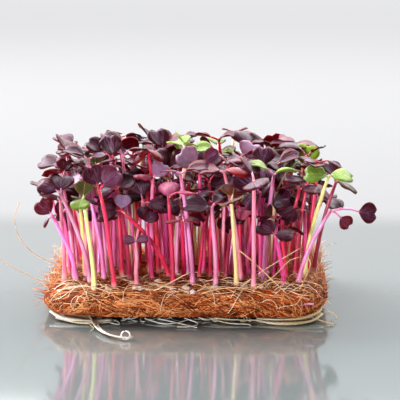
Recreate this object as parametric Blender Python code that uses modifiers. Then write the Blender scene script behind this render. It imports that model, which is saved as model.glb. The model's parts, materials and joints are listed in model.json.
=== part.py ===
"""Red radish microgreens standing in a coconut-fibre growing mat, with their roots matted underneath.

The origin is on the table under the middle of the mat. +X runs along the mat's long side, +Y is the back
and +Z is up. Lengths below are in millimetres and angles in degrees; MM turns them into metres.
"""

import math
from dataclasses import dataclass, replace

import bmesh
import bpy
import numpy as np
from mathutils import Matrix, Vector

MM = 0.001
GAP = 0.3

# The mat of coconut fibre
MAT_WIDTH = 128.0
MAT_DEPTH = 94.0
MAT_TOP = 13.5
MAT_UNDERSIDE = 2.5
CORNER_POWER = 7.0
UNDERSIDE_INSET = 5.0
TOP_INSET = 1.5
RIM_DROP = 2.2
LEFT_END_DROP = 3.2
LEFT_END_START = 38.0
RIM_LIFT = 2.6
RELIEF = 0.45

# The matted roots that the mat lies on
ROOT_WIDTH = 120.0
ROOT_DEPTH = 87.0
ROOT_TOP = MAT_UNDERSIDE - GAP
ROOT_STRAND_RADIUS = 0.65
ROOT_STRANDS = 12

# Loose coconut fibres that stand out of the mat's rim
FIBRE_RADIUS = 0.4
RIM_FIBRES = 16

# The angle between one loose fibre or root and the next, in radians, which spreads them evenly round the mat
GOLDEN_TURN = 2.4

# Stems, and the plain holes that they stand in; the collar is the upright foot of a stem above the mat
STEM_RADIUS = 1.05
NECK_RADIUS = 0.9
SUNK = 5.0
COLLAR = 1.6
STEM_SWING = 0.12
HOLE_RADIUS = 2.6
HOLE_CLEARANCE = 6.0

# Seed leaves: a short stalk, then a broad blade that is notched at its tip
BLADE_LENGTH = 9.2
BLADE_WIDTH = 11.0
BLADE_THICKNESS = 0.7
STALK_HALF_WIDTH = 0.6
NOTCH = 0.17
ARCH = 0.16
FOLD = 0.20
BLADE_ROWS = ((0.42, 1.0), (1.0, 0.6))

# How thickly the mat is sown
SEED = 9687
SPROUT_NODES = 55
TWINS = 15
TWIN_STEP = 1.25
TWIN_LEAN = 5.0
TWIN_PART = 20.0
SOWN_MARGIN = 7.0
PLACES_DRAWN = 14
LEAF_CLEARANCE = 0.85
STEM_CLEARANCE = 1.2
NUDGE = 0.06
MOST_TRIES = 120

# Edges sharper than this stay crisp on the shaded seedlings
SHARP_ANGLE = 65.0

COLOURS = {
    "coir": ((0.42, 0.17, 0.05, 1.0), 0.9),
    "root": ((0.78, 0.74, 0.64, 1.0), 0.6),
    "purple_sprout": ((0.40, 0.06, 0.16, 1.0), 0.45),
    "green_sprout": ((0.42, 0.52, 0.12, 1.0), 0.45),
}


@dataclass(frozen=True)
class Leaf:
    """A seed leaf: the way it points, how far it is lifted and rolled, its stalk's length and its size."""

    yaw: float
    lift: float
    roll: float
    stalk: float = 3.0
    size: float = 1.0


@dataclass(frozen=True)
class Sprout:
    """A seedling: where it leaves the mat, where its two leaves start, and the leaves."""

    base: tuple
    head: tuple
    leaves: tuple
    kind: str = "purple_sprout"


# The seedlings at the front and the ones that reach furthest, each placed as it stands on the mat
LEADING_SPROUTS = (
    Sprout((-51, -24), (-61, -25, 45), (Leaf(180, 42, -62, 1.5, 0.95), Leaf(192, -25, 0, 2, 0.5))),
    Sprout((-44, -28), (-57, -28, 56), (Leaf(188, 18, -35, 2), Leaf(65, 40, 10, 3))),
    Sprout((-41, -40), (-46, -41, 56), (Leaf(196, -4, -20, 2, 0.75), Leaf(15, 55, 70, 2.5)), "green_sprout"),
    Sprout((-39, -21), (-47, -19, 64), (Leaf(150, 22, 10, 4), Leaf(-35, 30, 10, 4))),
    Sprout((-32, -38), (-38.5, -39, 60), (Leaf(180, 62, -72, 2.5, 1.15), Leaf(2, 46, 66, 3, 1.2))),
    Sprout((-30, -17), (-33, -18, 71), (Leaf(174, 14, -10, 4, 1.05), Leaf(10, 82, 84, 1.5, 1.15))),
    Sprout((-8, -18), (-30, -30, 45), (Leaf(184, 2, -45, 2), Leaf(15, 46, 40, 3, 0.95))),
    Sprout((-22, -34), (-23, -40, 35), (Leaf(184, 6, -20, 1.5, 0.85), Leaf(-6, 12, 20, 1.5, 0.6))),
    Sprout((-16, -22), (-18, -27, 40), (Leaf(110, 66, 0, 1.5, 0.95), Leaf(15, 52, 0, 2, 0.8))),
    Sprout((-27, -3), (-27, -6, 53), (Leaf(190, 14, -50, 2), Leaf(-12, 14, 50, 2)), "green_sprout"),
    Sprout((-5.5, -34), (-8, -37, 56), (Leaf(205, 48, -30, 1.5, 0.85), Leaf(-8, 12, 10, 3, 0.85))),
    Sprout((-17, -10), (-16, -19, 59), (Leaf(182, 16, -20, 2, 0.95), Leaf(25, 40, 40, 3, 1.05))),
    Sprout((5.5, -34), (-2.5, -37, 68), (Leaf(182, 8, 0, 3, 0.95), Leaf(-4, 6, 4, 4, 1.1))),
    Sprout((-1, -22), (-1, -43, 42), (Leaf(182, 4, 0, 1.5, 0.7), Leaf(-3, 6, 0, 1.5, 0.7))),
    Sprout((14, -33), (12, -36, 51), (Leaf(184, 6, -32, 2.5, 1.25), Leaf(40, 40, 10, 2, 0.8))),
    Sprout((25.5, -24), (17.5, -27, 66), (Leaf(170, 12, -10, 2, 0.95), Leaf(-6, 10, 10, 3, 1.15))),
    Sprout((31, -10), (13, -12, 60), (Leaf(140, 20, 0, 3), Leaf(-50, 15, 0, 3))),
    Sprout((36, -25), (41, -28, 65), (Leaf(172, 18, -32, 3, 1.2), Leaf(10, 30, 30, 3, 1.1)), "green_sprout"),
    Sprout((39, -8), (42, -12, 51), (Leaf(140, 66, 0, 9, 0.95), Leaf(25, 60, 0, 10, 1.0)), "green_sprout"),
    Sprout((28, -19), (34, -30, 57), (Leaf(178, 6, -48, 2.5, 1.2), Leaf(-100, -38, 0, 2, 0.9))),
    Sprout((45, -31), (41, -38, 37), (Leaf(150, 26, -30, 1.5, 0.95), Leaf(-20, -8, 30, 1.5, 0.8))),
    Sprout((45, -14), (53, -17, 57), (Leaf(120, 20, 0, 3), Leaf(-40, 25, 10, 3))),
    Sprout((55, -16), (66, -22, 63), (Leaf(176, 8, -34, 3, 1.2), Leaf(-8, -12, 26, 3, 1.1)), "green_sprout"),
    Sprout((52, -27), (73, -29, 45), (Leaf(-110, -64, 0, 2.5, 0.65), Leaf(-3, -3, 74, 9, 1.05))),
    Sprout((59, -6), (70, -4, 58), (Leaf(160, 12, 0, 3), Leaf(4, -16, 14, 3, 1.05))),
    Sprout((18, 18), (15, 18, 73), (Leaf(182, 4, 0, 5, 0.9), Leaf(-2, 14, 0, 2.5, 0.9))),
    Sprout((3, 6), (2, 2, 70), (Leaf(178, 16, -40, 3, 1.0), Leaf(2, 18, 44, 3, 1.0)), "green_sprout"),
    Sprout((8, -10), (6, -14, 62), (Leaf(176, 26, -66, 3, 1.2), Leaf(4, 36, 66, 3, 1.25))),
    Sprout((53, 8), (54, 2, 64), (Leaf(200, 20, 0, 3), Leaf(25, 58, 70, 3, 1.2)), "green_sprout"),
    Sprout((46, 22), (51, 20, 72), (Leaf(176, 10, 0, 3, 1.1), Leaf(-6, -4, 0, 3, 1.1))),
    Sprout((-52, 14), (-70, 18, 60), (Leaf(175, 16, -20, 2.5, 1.1), Leaf(20, 24, 0, 3))),
)


def ramp(value, low, high):
    """How far value is from low to high, held between 0 and 1."""
    return min(1.0, max(0.0, (value - low) / (high - low)))


def rim_share(x, y):
    """0 at the middle of the mat and 1 at its rim."""
    return max(abs(x) / (MAT_WIDTH / 2), abs(y) / (MAT_DEPTH / 2))


def mat_top(x, y):
    """The height of the mat's top, which falls off at the rim and is thinner at its left end."""
    relief = math.sin(0.42 * x + 0.31 * y) * math.cos(0.5 * y - 0.13 * x) + 0.6 * math.sin(0.9 * x - 0.7 * y)
    left = ramp(-x, LEFT_END_START, MAT_WIDTH / 2) ** 2
    return MAT_TOP + RELIEF * relief - RIM_DROP * rim_share(x, y) ** 12 - LEFT_END_DROP * left


def mat_bottom(x, y):
    """The height of the mat's underside, which curls up at the rim and most at the left."""
    left = ramp(-x, LEFT_END_START, MAT_WIDTH / 2)
    return MAT_UNDERSIDE + RIM_LIFT * (0.35 + left) * rim_share(x, y) ** 10


def rounded_plan(u, v, width, depth, ragged):
    """Where a point u, v of a square lies on a rectangle with round corners and a ragged edge."""
    reach = (abs(u) ** CORNER_POWER + abs(v) ** CORNER_POWER) ** (1 / CORNER_POWER)
    pull = max(abs(u), abs(v)) / reach if reach else 1.0
    turn = math.atan2(v, u)
    edge = 1 + ragged * (math.sin(9 * turn + 1.0) + 0.6 * math.sin(17 * turn) + 0.5 * math.sin(29 * turn))
    return u * pull * edge * width / 2, v * pull * edge * depth / 2


def mat_point(u, v, w):
    """A point of the mat: u and v run from -1 to 1 in the plan, and w from -1 underneath to 1 on top."""
    inset = UNDERSIDE_INSET * ramp(-w, -0.4, 1) ** 2 + TOP_INSET * ramp(w, 0, 1) ** 3
    x, y = rounded_plan(u, v, MAT_WIDTH - 2 * inset, MAT_DEPTH - 2 * inset, 0.008)
    low, high = mat_bottom(x, y), mat_top(x, y)
    return x, y, low + (high - low) * (w + 1) / 2


def root_point(u, v, w):
    """A point of the thin layer of matted roots, which is flat underneath."""
    x, y = rounded_plan(u, v, ROOT_WIDTH - 3 * w, ROOT_DEPTH - 3 * w, 0.014)
    return x, y, ROOT_TOP * (w + 1) / 2


def new_object(name, mesh, kind):
    """A shaded object of this mesh, with the material of its kind."""
    obj = bpy.data.objects.new(name, mesh)
    mesh.materials.append(bpy.data.materials[kind])
    bpy.context.scene.collection.objects.link(obj)
    return obj


def block(name, cuts, place, kind):
    """A closed block, cut into cuts[0] x cuts[1] x cuts[2] cells, whose points are moved by place."""
    bm = bmesh.new()
    bmesh.ops.create_cube(bm, size=2)
    for axis, count in enumerate(cuts):
        normal = Vector((axis == 0, axis == 1, axis == 2))
        for i in range(1, count):
            geometry = bm.verts[:] + bm.edges[:] + bm.faces[:]
            bmesh.ops.bisect_plane(bm, geom=geometry, plane_co=normal * (2 * i / count - 1), plane_no=normal)
    for vert in bm.verts:
        vert.co = Vector(place(*vert.co)) * MM
    bmesh.ops.triangulate(bm, faces=bm.faces)
    bmesh.ops.recalc_face_normals(bm, faces=bm.faces)
    mesh = bpy.data.meshes.new(name)
    bm.to_mesh(mesh)
    bm.free()
    return new_object(name, mesh, kind)


def tube(name, points, radii, kind, sides=4):
    """A closed tube of 4 or 6 sides through the points, made from a bevelled curve."""
    curve = bpy.data.curves.new(name, "CURVE")
    curve.dimensions = "3D"
    curve.bevel_depth = MM
    curve.bevel_resolution = (sides - 4) // 2
    curve.use_fill_caps = True
    spline = curve.splines.new("POLY")
    spline.points.add(len(points) - 1)
    for spot, point, radius in zip(spline.points, points, radii):
        spot.co = (*(Vector(point) * MM), 1.0)
        spot.radius = radius
    guide = bpy.data.objects.new(name + "_guide", curve)
    bpy.context.scene.collection.objects.link(guide)
    bpy.context.view_layer.update()
    graph = bpy.context.evaluated_depsgraph_get()
    mesh = bpy.data.meshes.new_from_object(guide.evaluated_get(graph))
    bpy.data.objects.remove(guide)
    bm = bmesh.new()
    bm.from_mesh(mesh)
    bmesh.ops.remove_doubles(bm, verts=bm.verts, dist=0.01 * MM)
    bmesh.ops.recalc_face_normals(bm, faces=bm.faces)
    bm.to_mesh(mesh)
    bm.free()
    mesh.materials.clear()
    return new_object(name, mesh, kind)


def apply_modifiers(obj):
    """Puts the object's modifiers into its mesh."""
    bpy.context.view_layer.update()
    graph = bpy.context.evaluated_depsgraph_get()
    mesh = bpy.data.meshes.new_from_object(obj.evaluated_get(graph))
    obj.modifiers.clear()
    obj.data = mesh


def fuse(obj, others):
    """Joins the others to obj in one closed body, and removes them."""
    group = bpy.data.collections.new(obj.name + "_pieces")
    for other in others:
        group.objects.link(other)
    union = obj.modifiers.new("Union", "BOOLEAN")
    union.operation = "UNION"
    union.solver = "EXACT"
    union.operand_type = "COLLECTION"
    union.collection = group
    apply_modifiers(obj)
    for other in others:
        bpy.data.objects.remove(other)
    bpy.data.collections.remove(group)


def stem_points(sprout, shares):
    """Points of the stem's centre line, from the mat's surface at 0 to the leaves at 1."""
    t = np.asarray(shares, float)[:, None]
    foot = np.array((*sprout.base, MAT_TOP + COLLAR))
    head = np.array(sprout.head, float)
    bend = foot + (head - foot) * (STEM_SWING, STEM_SWING, 0.42)
    return foot * (1 - t) ** 2 + bend * 2 * t * (1 - t) + head * t**2


def leaf_axes(leaf):
    """The way the leaf points, the way across it and the way its upper face looks."""
    yaw, lift, roll = (math.radians(a) for a in (leaf.yaw, leaf.lift, leaf.roll))
    along = np.array((math.cos(yaw) * math.cos(lift), math.sin(yaw) * math.cos(lift), math.sin(lift)))
    level = np.array((-math.sin(yaw), math.cos(yaw), 0))
    across = level * math.cos(roll) + np.cross(along, level) * math.sin(roll)
    return along, across, np.cross(along, across)


def blade_points(sprout, leaf, shares, sides):
    """Points of a blade: shares run from the stalk at 0 to the tip at 1, and sides from -1 to 1 across it."""
    along, across, face = leaf_axes(leaf)
    share, side = (grid.reshape(-1, 1) for grid in np.meshgrid(shares, sides, indexing="ij"))
    rows = ((0.0, 2 * STALK_HALF_WIDTH / BLADE_WIDTH), *BLADE_ROWS)
    half_width = np.interp(share, [r[0] for r in rows], [r[1] for r in rows]) * BLADE_WIDTH / 2 * leaf.size
    length = BLADE_LENGTH * leaf.size * share * (1 - NOTCH * (1 - abs(side)) * share**3)
    rise = FOLD * abs(side) * half_width - ARCH * BLADE_LENGTH * leaf.size * share**2
    return np.array(sprout.head) + along * (leaf.stalk + length) + across * side * half_width + face * rise


def leaf_solid(sprout, leaf, name):
    """One seed leaf with its stalk: an open sheet, two strips wide from stem to tip, given its thickness."""
    along, across, _ = leaf_axes(leaf)
    root = np.array(sprout.head) - along * STALK_HALF_WIDTH / 2
    shares = (0, *(share for share, _ in BLADE_ROWS))
    blade = blade_points(sprout, leaf, shares, (-1, 0, 1))
    points = np.vstack([[root + across * side * STALK_HALF_WIDTH for side in (-1, 0, 1)], blade])
    cells = len(shares)
    bm = bmesh.new()
    bmesh.ops.create_grid(bm, x_segments=2, y_segments=cells, size=1)
    for vert in bm.verts:
        column = round(vert.co.x + 1)
        row = round((vert.co.y + 1) / 2 * cells)
        vert.co = Vector(points[3 * row + column]) * MM
    bmesh.ops.triangulate(bm, faces=bm.faces)
    mesh = bpy.data.meshes.new(name)
    bm.to_mesh(mesh)
    bm.free()
    obj = new_object(name, mesh, sprout.kind)
    solidify = obj.modifiers.new("Solidify", "SOLIDIFY")
    solidify.thickness = BLADE_THICKNESS * MM
    solidify.offset = 0
    apply_modifiers(obj)
    return obj


def stem_solid(sprout, name, sunk):
    """The stem, from inside its hole up to the leaves."""
    foot, middle, head = stem_points(sprout, (0, 0.55, 1))
    root = foot - (0, 0, COLLAR + sunk)
    tip = head + (head - middle) / np.linalg.norm(head - middle) * NECK_RADIUS
    radii = (STEM_RADIUS, STEM_RADIUS, STEM_RADIUS * 0.95, NECK_RADIUS)
    return tube(name, (root, foot, middle, tip), radii, sprout.kind, sides=6)


def probes(sprout):
    """Points all over a seedling with the clear space that each one keeps, for telling whether two cross."""
    stem = stem_points(sprout, np.linspace(0, 1, 36))
    found = [np.column_stack([stem, np.full(len(stem), STEM_CLEARANCE)])]
    for leaf in sprout.leaves:
        stalk = np.array(sprout.head) + leaf_axes(leaf)[0] * np.arange(1.0, leaf.stalk, 1.2)[:, None]
        blade = blade_points(sprout, leaf, np.linspace(0, 1, 7), np.linspace(-1, 1, 7))
        points = np.vstack([stalk, blade])
        found.append(np.column_stack([points, np.full(len(points), LEAF_CLEARANCE)]))
    return np.vstack(found)


def is_clear(ours, others):
    """Whether no probe of ours is in the clear space of any probe of the others."""
    reach = 2 * STEM_CLEARANCE
    low, high = ours[:, :3].min(0) - reach, ours[:, :3].max(0) + reach
    for theirs in others:
        near = theirs[((theirs[:, :3] > low) & (theirs[:, :3] < high)).all(1)]
        apart = np.linalg.norm(ours[:, None, :3] - near[None, :, :3], axis=2)
        if (apart <= ours[:, None, 3] + near[None, :, 3]).any():
            return False
    return True


def nudged(sprout, rng, reach):
    """The same seedling with its head moved and its leaves turned a little."""
    head = tuple(np.array(sprout.head) + rng.uniform(-1, 1, 3) * (reach, reach, reach * 0.8))
    turned = tuple(
        replace(leaf, yaw=leaf.yaw + rng.uniform(-5, 5) * reach, lift=leaf.lift + rng.uniform(-4, 4) * reach)
        for leaf in sprout.leaves
    )
    return replace(sprout, head=head, leaves=turned)


def drawn_sprout(base, rng):
    """A seedling drawn at random for this place: the nearer to the rim, the more it leans out."""
    out = np.array(base) / (MAT_WIDTH / 2, MAT_DEPTH / 2)
    lean = out * np.abs(out) * rng.uniform(2, 9) + rng.normal(0, 2.6, 2)
    height = rng.uniform(48, 74) - 4 * max(abs(out)) ** 4
    yaw = rng.uniform(0, 360)
    leaves = tuple(
        Leaf(
            turn + rng.normal(0, 16),
            rng.normal(18, 20),
            rng.normal(0, 26),
            rng.uniform(2, 5),
            rng.uniform(0.9, 1.2),
        )
        for turn in (yaw, yaw + 180)
    )
    kind = "green_sprout" if rng.random() < 0.14 else "purple_sprout"
    return Sprout(tuple(base), (base[0] + lean[0], base[1] + lean[1], height), leaves, kind)


def open_place(bases, rng):
    """Of some places drawn in the mat, the one that is furthest from all the bases."""
    field = np.array((MAT_WIDTH / 2, MAT_DEPTH / 2)) - SOWN_MARGIN
    places = rng.uniform(-1, 1, (PLACES_DRAWN, 2)) * field
    spacing = np.linalg.norm(places[:, None] - np.array(bases)[None], axis=2).min(1)
    return places[spacing.argmax()]


def drawn_twin(lead, rng):
    """A second seedling out of the lead's hole, which leans away from it."""
    turn = rng.uniform(0, 2 * math.pi)
    away = np.array((math.cos(turn), math.sin(turn)))
    twin = drawn_sprout(np.array(lead.base) + away * TWIN_STEP, rng)
    x, y, z = twin.head
    return replace(twin, head=(x + TWIN_LEAN * away[0], y + TWIN_LEAN * away[1], z), kind=lead.kind)


def first_clear(draw, taken):
    """The first of some drawn seedlings that is clear of all that are taken, or None."""
    for attempt in range(MOST_TRIES):
        sprout = draw(attempt)
        if is_clear(probes(sprout), taken):
            return sprout
    return None


def is_clear_twin(twin, lead, others):
    """Whether a twin is clear of the others, and of its lead above the part where their stems are fused."""
    ours, theirs = (cloud[cloud[:, 2] > MAT_TOP + TWIN_PART] for cloud in (probes(twin), probes(lead)))
    return is_clear(probes(twin), others) and is_clear(ours, [theirs])


def sown_sprouts():
    """The groups of one or two seedlings that share a hole, each clear of all the others."""
    rng = np.random.default_rng(SEED)
    groups = []
    taken = []

    def keep(sprout):
        if sprout:
            groups.append([sprout])
            taken.append(probes(sprout))

    for lead in LEADING_SPROUTS:
        keep(first_clear(lambda attempt: nudged(lead, rng, NUDGE * attempt), taken))
    while len(groups) < SPROUT_NODES:
        base = open_place([group[0].base for group in groups], rng)
        keep(first_clear(lambda attempt: drawn_sprout(base, rng), taken))
    for number in range(SPROUT_NODES - TWINS, SPROUT_NODES):
        lead = groups[number][0]
        others = taken[:number] + taken[number + 1 :]
        for _ in range(MOST_TRIES):
            twin = drawn_twin(lead, rng)
            if is_clear_twin(twin, lead, others):
                groups[number].append(twin)
                taken.append(probes(twin))
                break
    return groups


def sprout_solid(name, group):
    """One node: the seedlings of a group, their stems fused where they leave the same hole."""
    pieces = []
    for number, sprout in enumerate(group):
        pieces.append(stem_solid(sprout, f"{name}_stem_{number}", SUNK - 0.5 * number))
        for side, leaf in enumerate(sprout.leaves):
            pieces.append(leaf_solid(sprout, leaf, f"{name}_leaf_{number}_{side}"))
    body = pieces[0]
    fuse(body, pieces[1:])
    foot = Vector((*group[0].base, MAT_TOP)) * MM
    body.data.transform(Matrix.Translation(-foot))
    body.location = foot
    body.name = name
    body.data.name = name
    body.data.shade_smooth()
    body.data.set_sharp_from_angle(angle=math.radians(SHARP_ANGLE))
    return body


def hole_cutter(groups):
    """The plain holes for the groups' stems, in one cutter; each is wide enough to stay clear of them."""
    bm = bmesh.new()
    bottom, top = MAT_TOP - SUNK - GAP, MAT_TOP + HOLE_CLEARANCE
    for group in groups:
        x, y = np.mean([sprout.base for sprout in group], axis=0)
        bmesh.ops.create_cone(
            bm,
            cap_ends=True,
            segments=6,
            radius1=HOLE_RADIUS * MM,
            radius2=HOLE_RADIUS * MM,
            depth=(top - bottom) * MM,
            matrix=Matrix.Translation(Vector((x, y, (top + bottom) / 2)) * MM),
        )
    mesh = bpy.data.meshes.new("stem_holes")
    bm.to_mesh(mesh)
    bm.free()
    cutter = new_object("stem_holes", mesh, "coir")
    cutter.display_type = "WIRE"
    cutter.hide_render = True
    return cutter


def rim_fibre(turn, rng):
    """The points of one loose fibre that leaves the mat's side, bows out and ends in the air."""
    out = np.array((math.cos(turn), math.sin(turn), 0))
    along = np.array((-out[1], out[0], 0)) * rng.choice((-1, 1))
    u, v, _ = out / abs(out).max()
    start = np.array(mat_point(u, v, rng.uniform(-0.3, 0.5))) - out * 4
    sweep, reach, rise = rng.uniform(4, 12), rng.uniform(7, 10.5), rng.uniform(-1.5, 3.5)
    return [
        start + out * reach * math.sin(0.5 * math.pi * t) + along * sweep * t**1.5 + (0, 0, rise * t * t)
        for t in (0, 0.35, 0.7, 1)
    ]


# Two long fibres at the left that lie against the mat's end and reach far out over the table
LONG_FIBRES = {
    "long_fibre_low": (
        (-50, -33, 15.6),
        (-59, -34, 15.4),
        (-68, -34.5, 17.5),
        (-78, -34, 22.5),
        (-87, -33, 28),
    ),
    "long_fibre_high": (
        (-52, 4, 15.6),
        (-62, 2, 15.8),
        (-72, -2, 21),
        (-79, -6, 30),
        (-81, -9, 40),
        (-78, -12, 49),
    ),
}


def root_strand(turn, rng):
    """The points of one root that runs out from under the mat and curls round on the table."""
    out = np.array((math.cos(turn), math.sin(turn), 0))
    along = np.array((-out[1], out[0], 0)) * rng.choice((-1, 1))
    u, v, _ = out / abs(out).max()
    x, y, _ = root_point(u, v, 0)
    start = np.array((x, y, ROOT_TOP / 2)) - out * 5
    reach, hook, curl = rng.uniform(9, 15), rng.uniform(2.5, 5), rng.uniform(2.0, 3.0)
    return [
        start + out * reach * math.sin(curl * t) + along * hook * (1 - math.cos(curl * t)) - (0, 0, 0.4 * t)
        for t in np.linspace(0, 1, 6)
    ]


# The thick bundle of roots that lies in front of the mat at its left end
FRONT_ROOT = (
    (-44, -36, 1.2),
    (-41.5, -46, 1.15),
    (-37.5, -56, 1.1),
    (-32, -65, 1.1),
    (-25.5, -71.5, 1.1),
    (-20.5, -72, 1.1),
    (-20, -68, 1.1),
)


def coir_mat(cutter):
    """The mat: a ragged block with loose fibres fused in, and a hole for each group of stems."""
    rng = np.random.default_rng(SEED + 1)
    mat = block("coir_mat", (14, 10, 3), mat_point, "coir")
    routes = [rim_fibre(GOLDEN_TURN * i, rng) for i in range(RIM_FIBRES)]
    fuse(mat, [tube("fibre", route, [FIBRE_RADIUS] * len(route), "coir") for route in routes])
    holes = mat.modifiers.new("Stem holes", "BOOLEAN")
    holes.operation = "DIFFERENCE"
    holes.solver = "EXACT"
    holes.object = cutter
    return mat


def root_mat():
    """The matted roots: a thin ragged layer with strands that run out of it onto the table."""
    rng = np.random.default_rng(SEED + 2)
    layer = block("root_mat", (12, 8, 1), root_point, "root")
    routes = [root_strand(GOLDEN_TURN * i + 0.5, rng) for i in range(ROOT_STRANDS)]
    strands = [tube("strand", route, [ROOT_STRAND_RADIUS] * len(route), "root") for route in routes]
    bundle = np.linspace(1.0, ROOT_STRAND_RADIUS, len(FRONT_ROOT))
    strands.append(tube("front_root", FRONT_ROOT, bundle, "root"))
    fuse(layer, strands)
    return layer


def main():
    for obj in list(bpy.data.objects):
        bpy.data.objects.remove(obj)
    for kind, (colour, roughness) in COLOURS.items():
        material = bpy.data.materials.new(kind)
        material.use_nodes = True
        shader = material.node_tree.nodes["Principled BSDF"]
        shader.inputs["Base Color"].default_value = colour
        shader.inputs["Roughness"].default_value = roughness
        shader.inputs["Metallic"].default_value = 0.0
    groups = sown_sprouts()
    cutter = hole_cutter(groups)
    nodes = [coir_mat(cutter), root_mat()]
    nodes += [tube(name, route, [FIBRE_RADIUS] * len(route), "coir") for name, route in LONG_FIBRES.items()]
    nodes += [sprout_solid(f"sprout_{number:02d}", group) for number, group in enumerate(groups, 1)]
    for name, members in (("radish_microgreens", nodes), ("cutters", [cutter])):
        collection = bpy.data.collections.new(name)
        bpy.context.scene.collection.children.link(collection)
        for member in members:
            collection.objects.link(member)
            bpy.context.scene.collection.objects.unlink(member)


main()
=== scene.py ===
"""Looks for a stand of red radish microgreens on a coconut-fibre mat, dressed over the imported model.

Lengths are in millimetres in the row frame. Its origin is on the table under the middle of the mat, +X
runs along the mat's long side, +Y to the back and +Z up. MM turns them into metres. The seedlings are sown
by the rule that placed the solid ones, so that each fine stem and leaf lies where its solid does or close
to it, and more seedlings then fill the stand between them.
"""

from __future__ import annotations

import json
import logging
import math
from collections.abc import Callable, Iterable, Sequence
from dataclasses import dataclass, field, replace
from enum import Enum

import bpy
import numpy as np
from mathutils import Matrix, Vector, noise


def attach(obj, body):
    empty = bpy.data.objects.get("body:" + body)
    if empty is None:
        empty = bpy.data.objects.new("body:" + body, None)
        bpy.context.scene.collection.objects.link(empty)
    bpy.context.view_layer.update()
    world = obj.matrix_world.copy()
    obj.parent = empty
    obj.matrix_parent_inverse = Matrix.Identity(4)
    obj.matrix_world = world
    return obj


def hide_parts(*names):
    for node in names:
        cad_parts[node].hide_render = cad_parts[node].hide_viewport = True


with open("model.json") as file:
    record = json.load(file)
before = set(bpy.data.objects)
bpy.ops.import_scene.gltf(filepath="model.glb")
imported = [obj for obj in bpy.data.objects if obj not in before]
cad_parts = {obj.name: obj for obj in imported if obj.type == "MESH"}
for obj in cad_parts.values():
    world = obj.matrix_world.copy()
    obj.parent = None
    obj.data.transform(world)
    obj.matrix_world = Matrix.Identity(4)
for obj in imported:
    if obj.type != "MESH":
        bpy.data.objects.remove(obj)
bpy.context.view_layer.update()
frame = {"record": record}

MM = 0.001

# Where the draws of each kind of piece start
SEEDS = {
    "top_fibres": 31,
    "frizz": 32,
    "straws": 33,
    "rim_fibres": 34,
    "fluff": 35,
    "strands": 41,
    "hulls": 51,
    "seedlings": 60,
    "tufts": 200,
}
LOG = logging.getLogger("microgreens")

PURPLE_KIND = "purple_sprout"
GREEN_KIND = "green_sprout"

MAT_WIDTH = 128.0
MAT_DEPTH = 94.0
MAT_TOP = 13.5
MAT_UNDERSIDE = 2.5
CORNER_POWER = 7.0
UNDERSIDE_INSET = 5.0
TOP_INSET = 1.5
RIM_DROP = 2.2
LEFT_END_DROP = 3.2
LEFT_END_START = 38.0
RIM_LIFT = 3.6
RELIEF = 0.45
COLLAR = 1.6

Array = np.ndarray
Piece = bpy.types.Object
Material = bpy.types.Material
Socket = bpy.types.NodeSocket
Colour = tuple[float, ...]
Place = tuple[float, float, float]


def srgb(red: float, green: float, blue: float) -> Colour:
    """A colour as it shows on a screen, from 0 to 255, as linear red, green, blue and alpha."""
    shares = (c / 255 for c in (red, green, blue))
    return (*(c / 12.92 if c <= 0.04045 else ((c + 0.055) / 1.055) ** 2.4 for c in shares), 1.0)


def ramp(value: float, low: float, high: float) -> float:
    """How far a value is from low to high, held between 0 and 1."""
    return min(1.0, max(0.0, (value - low) / (high - low)))


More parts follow.
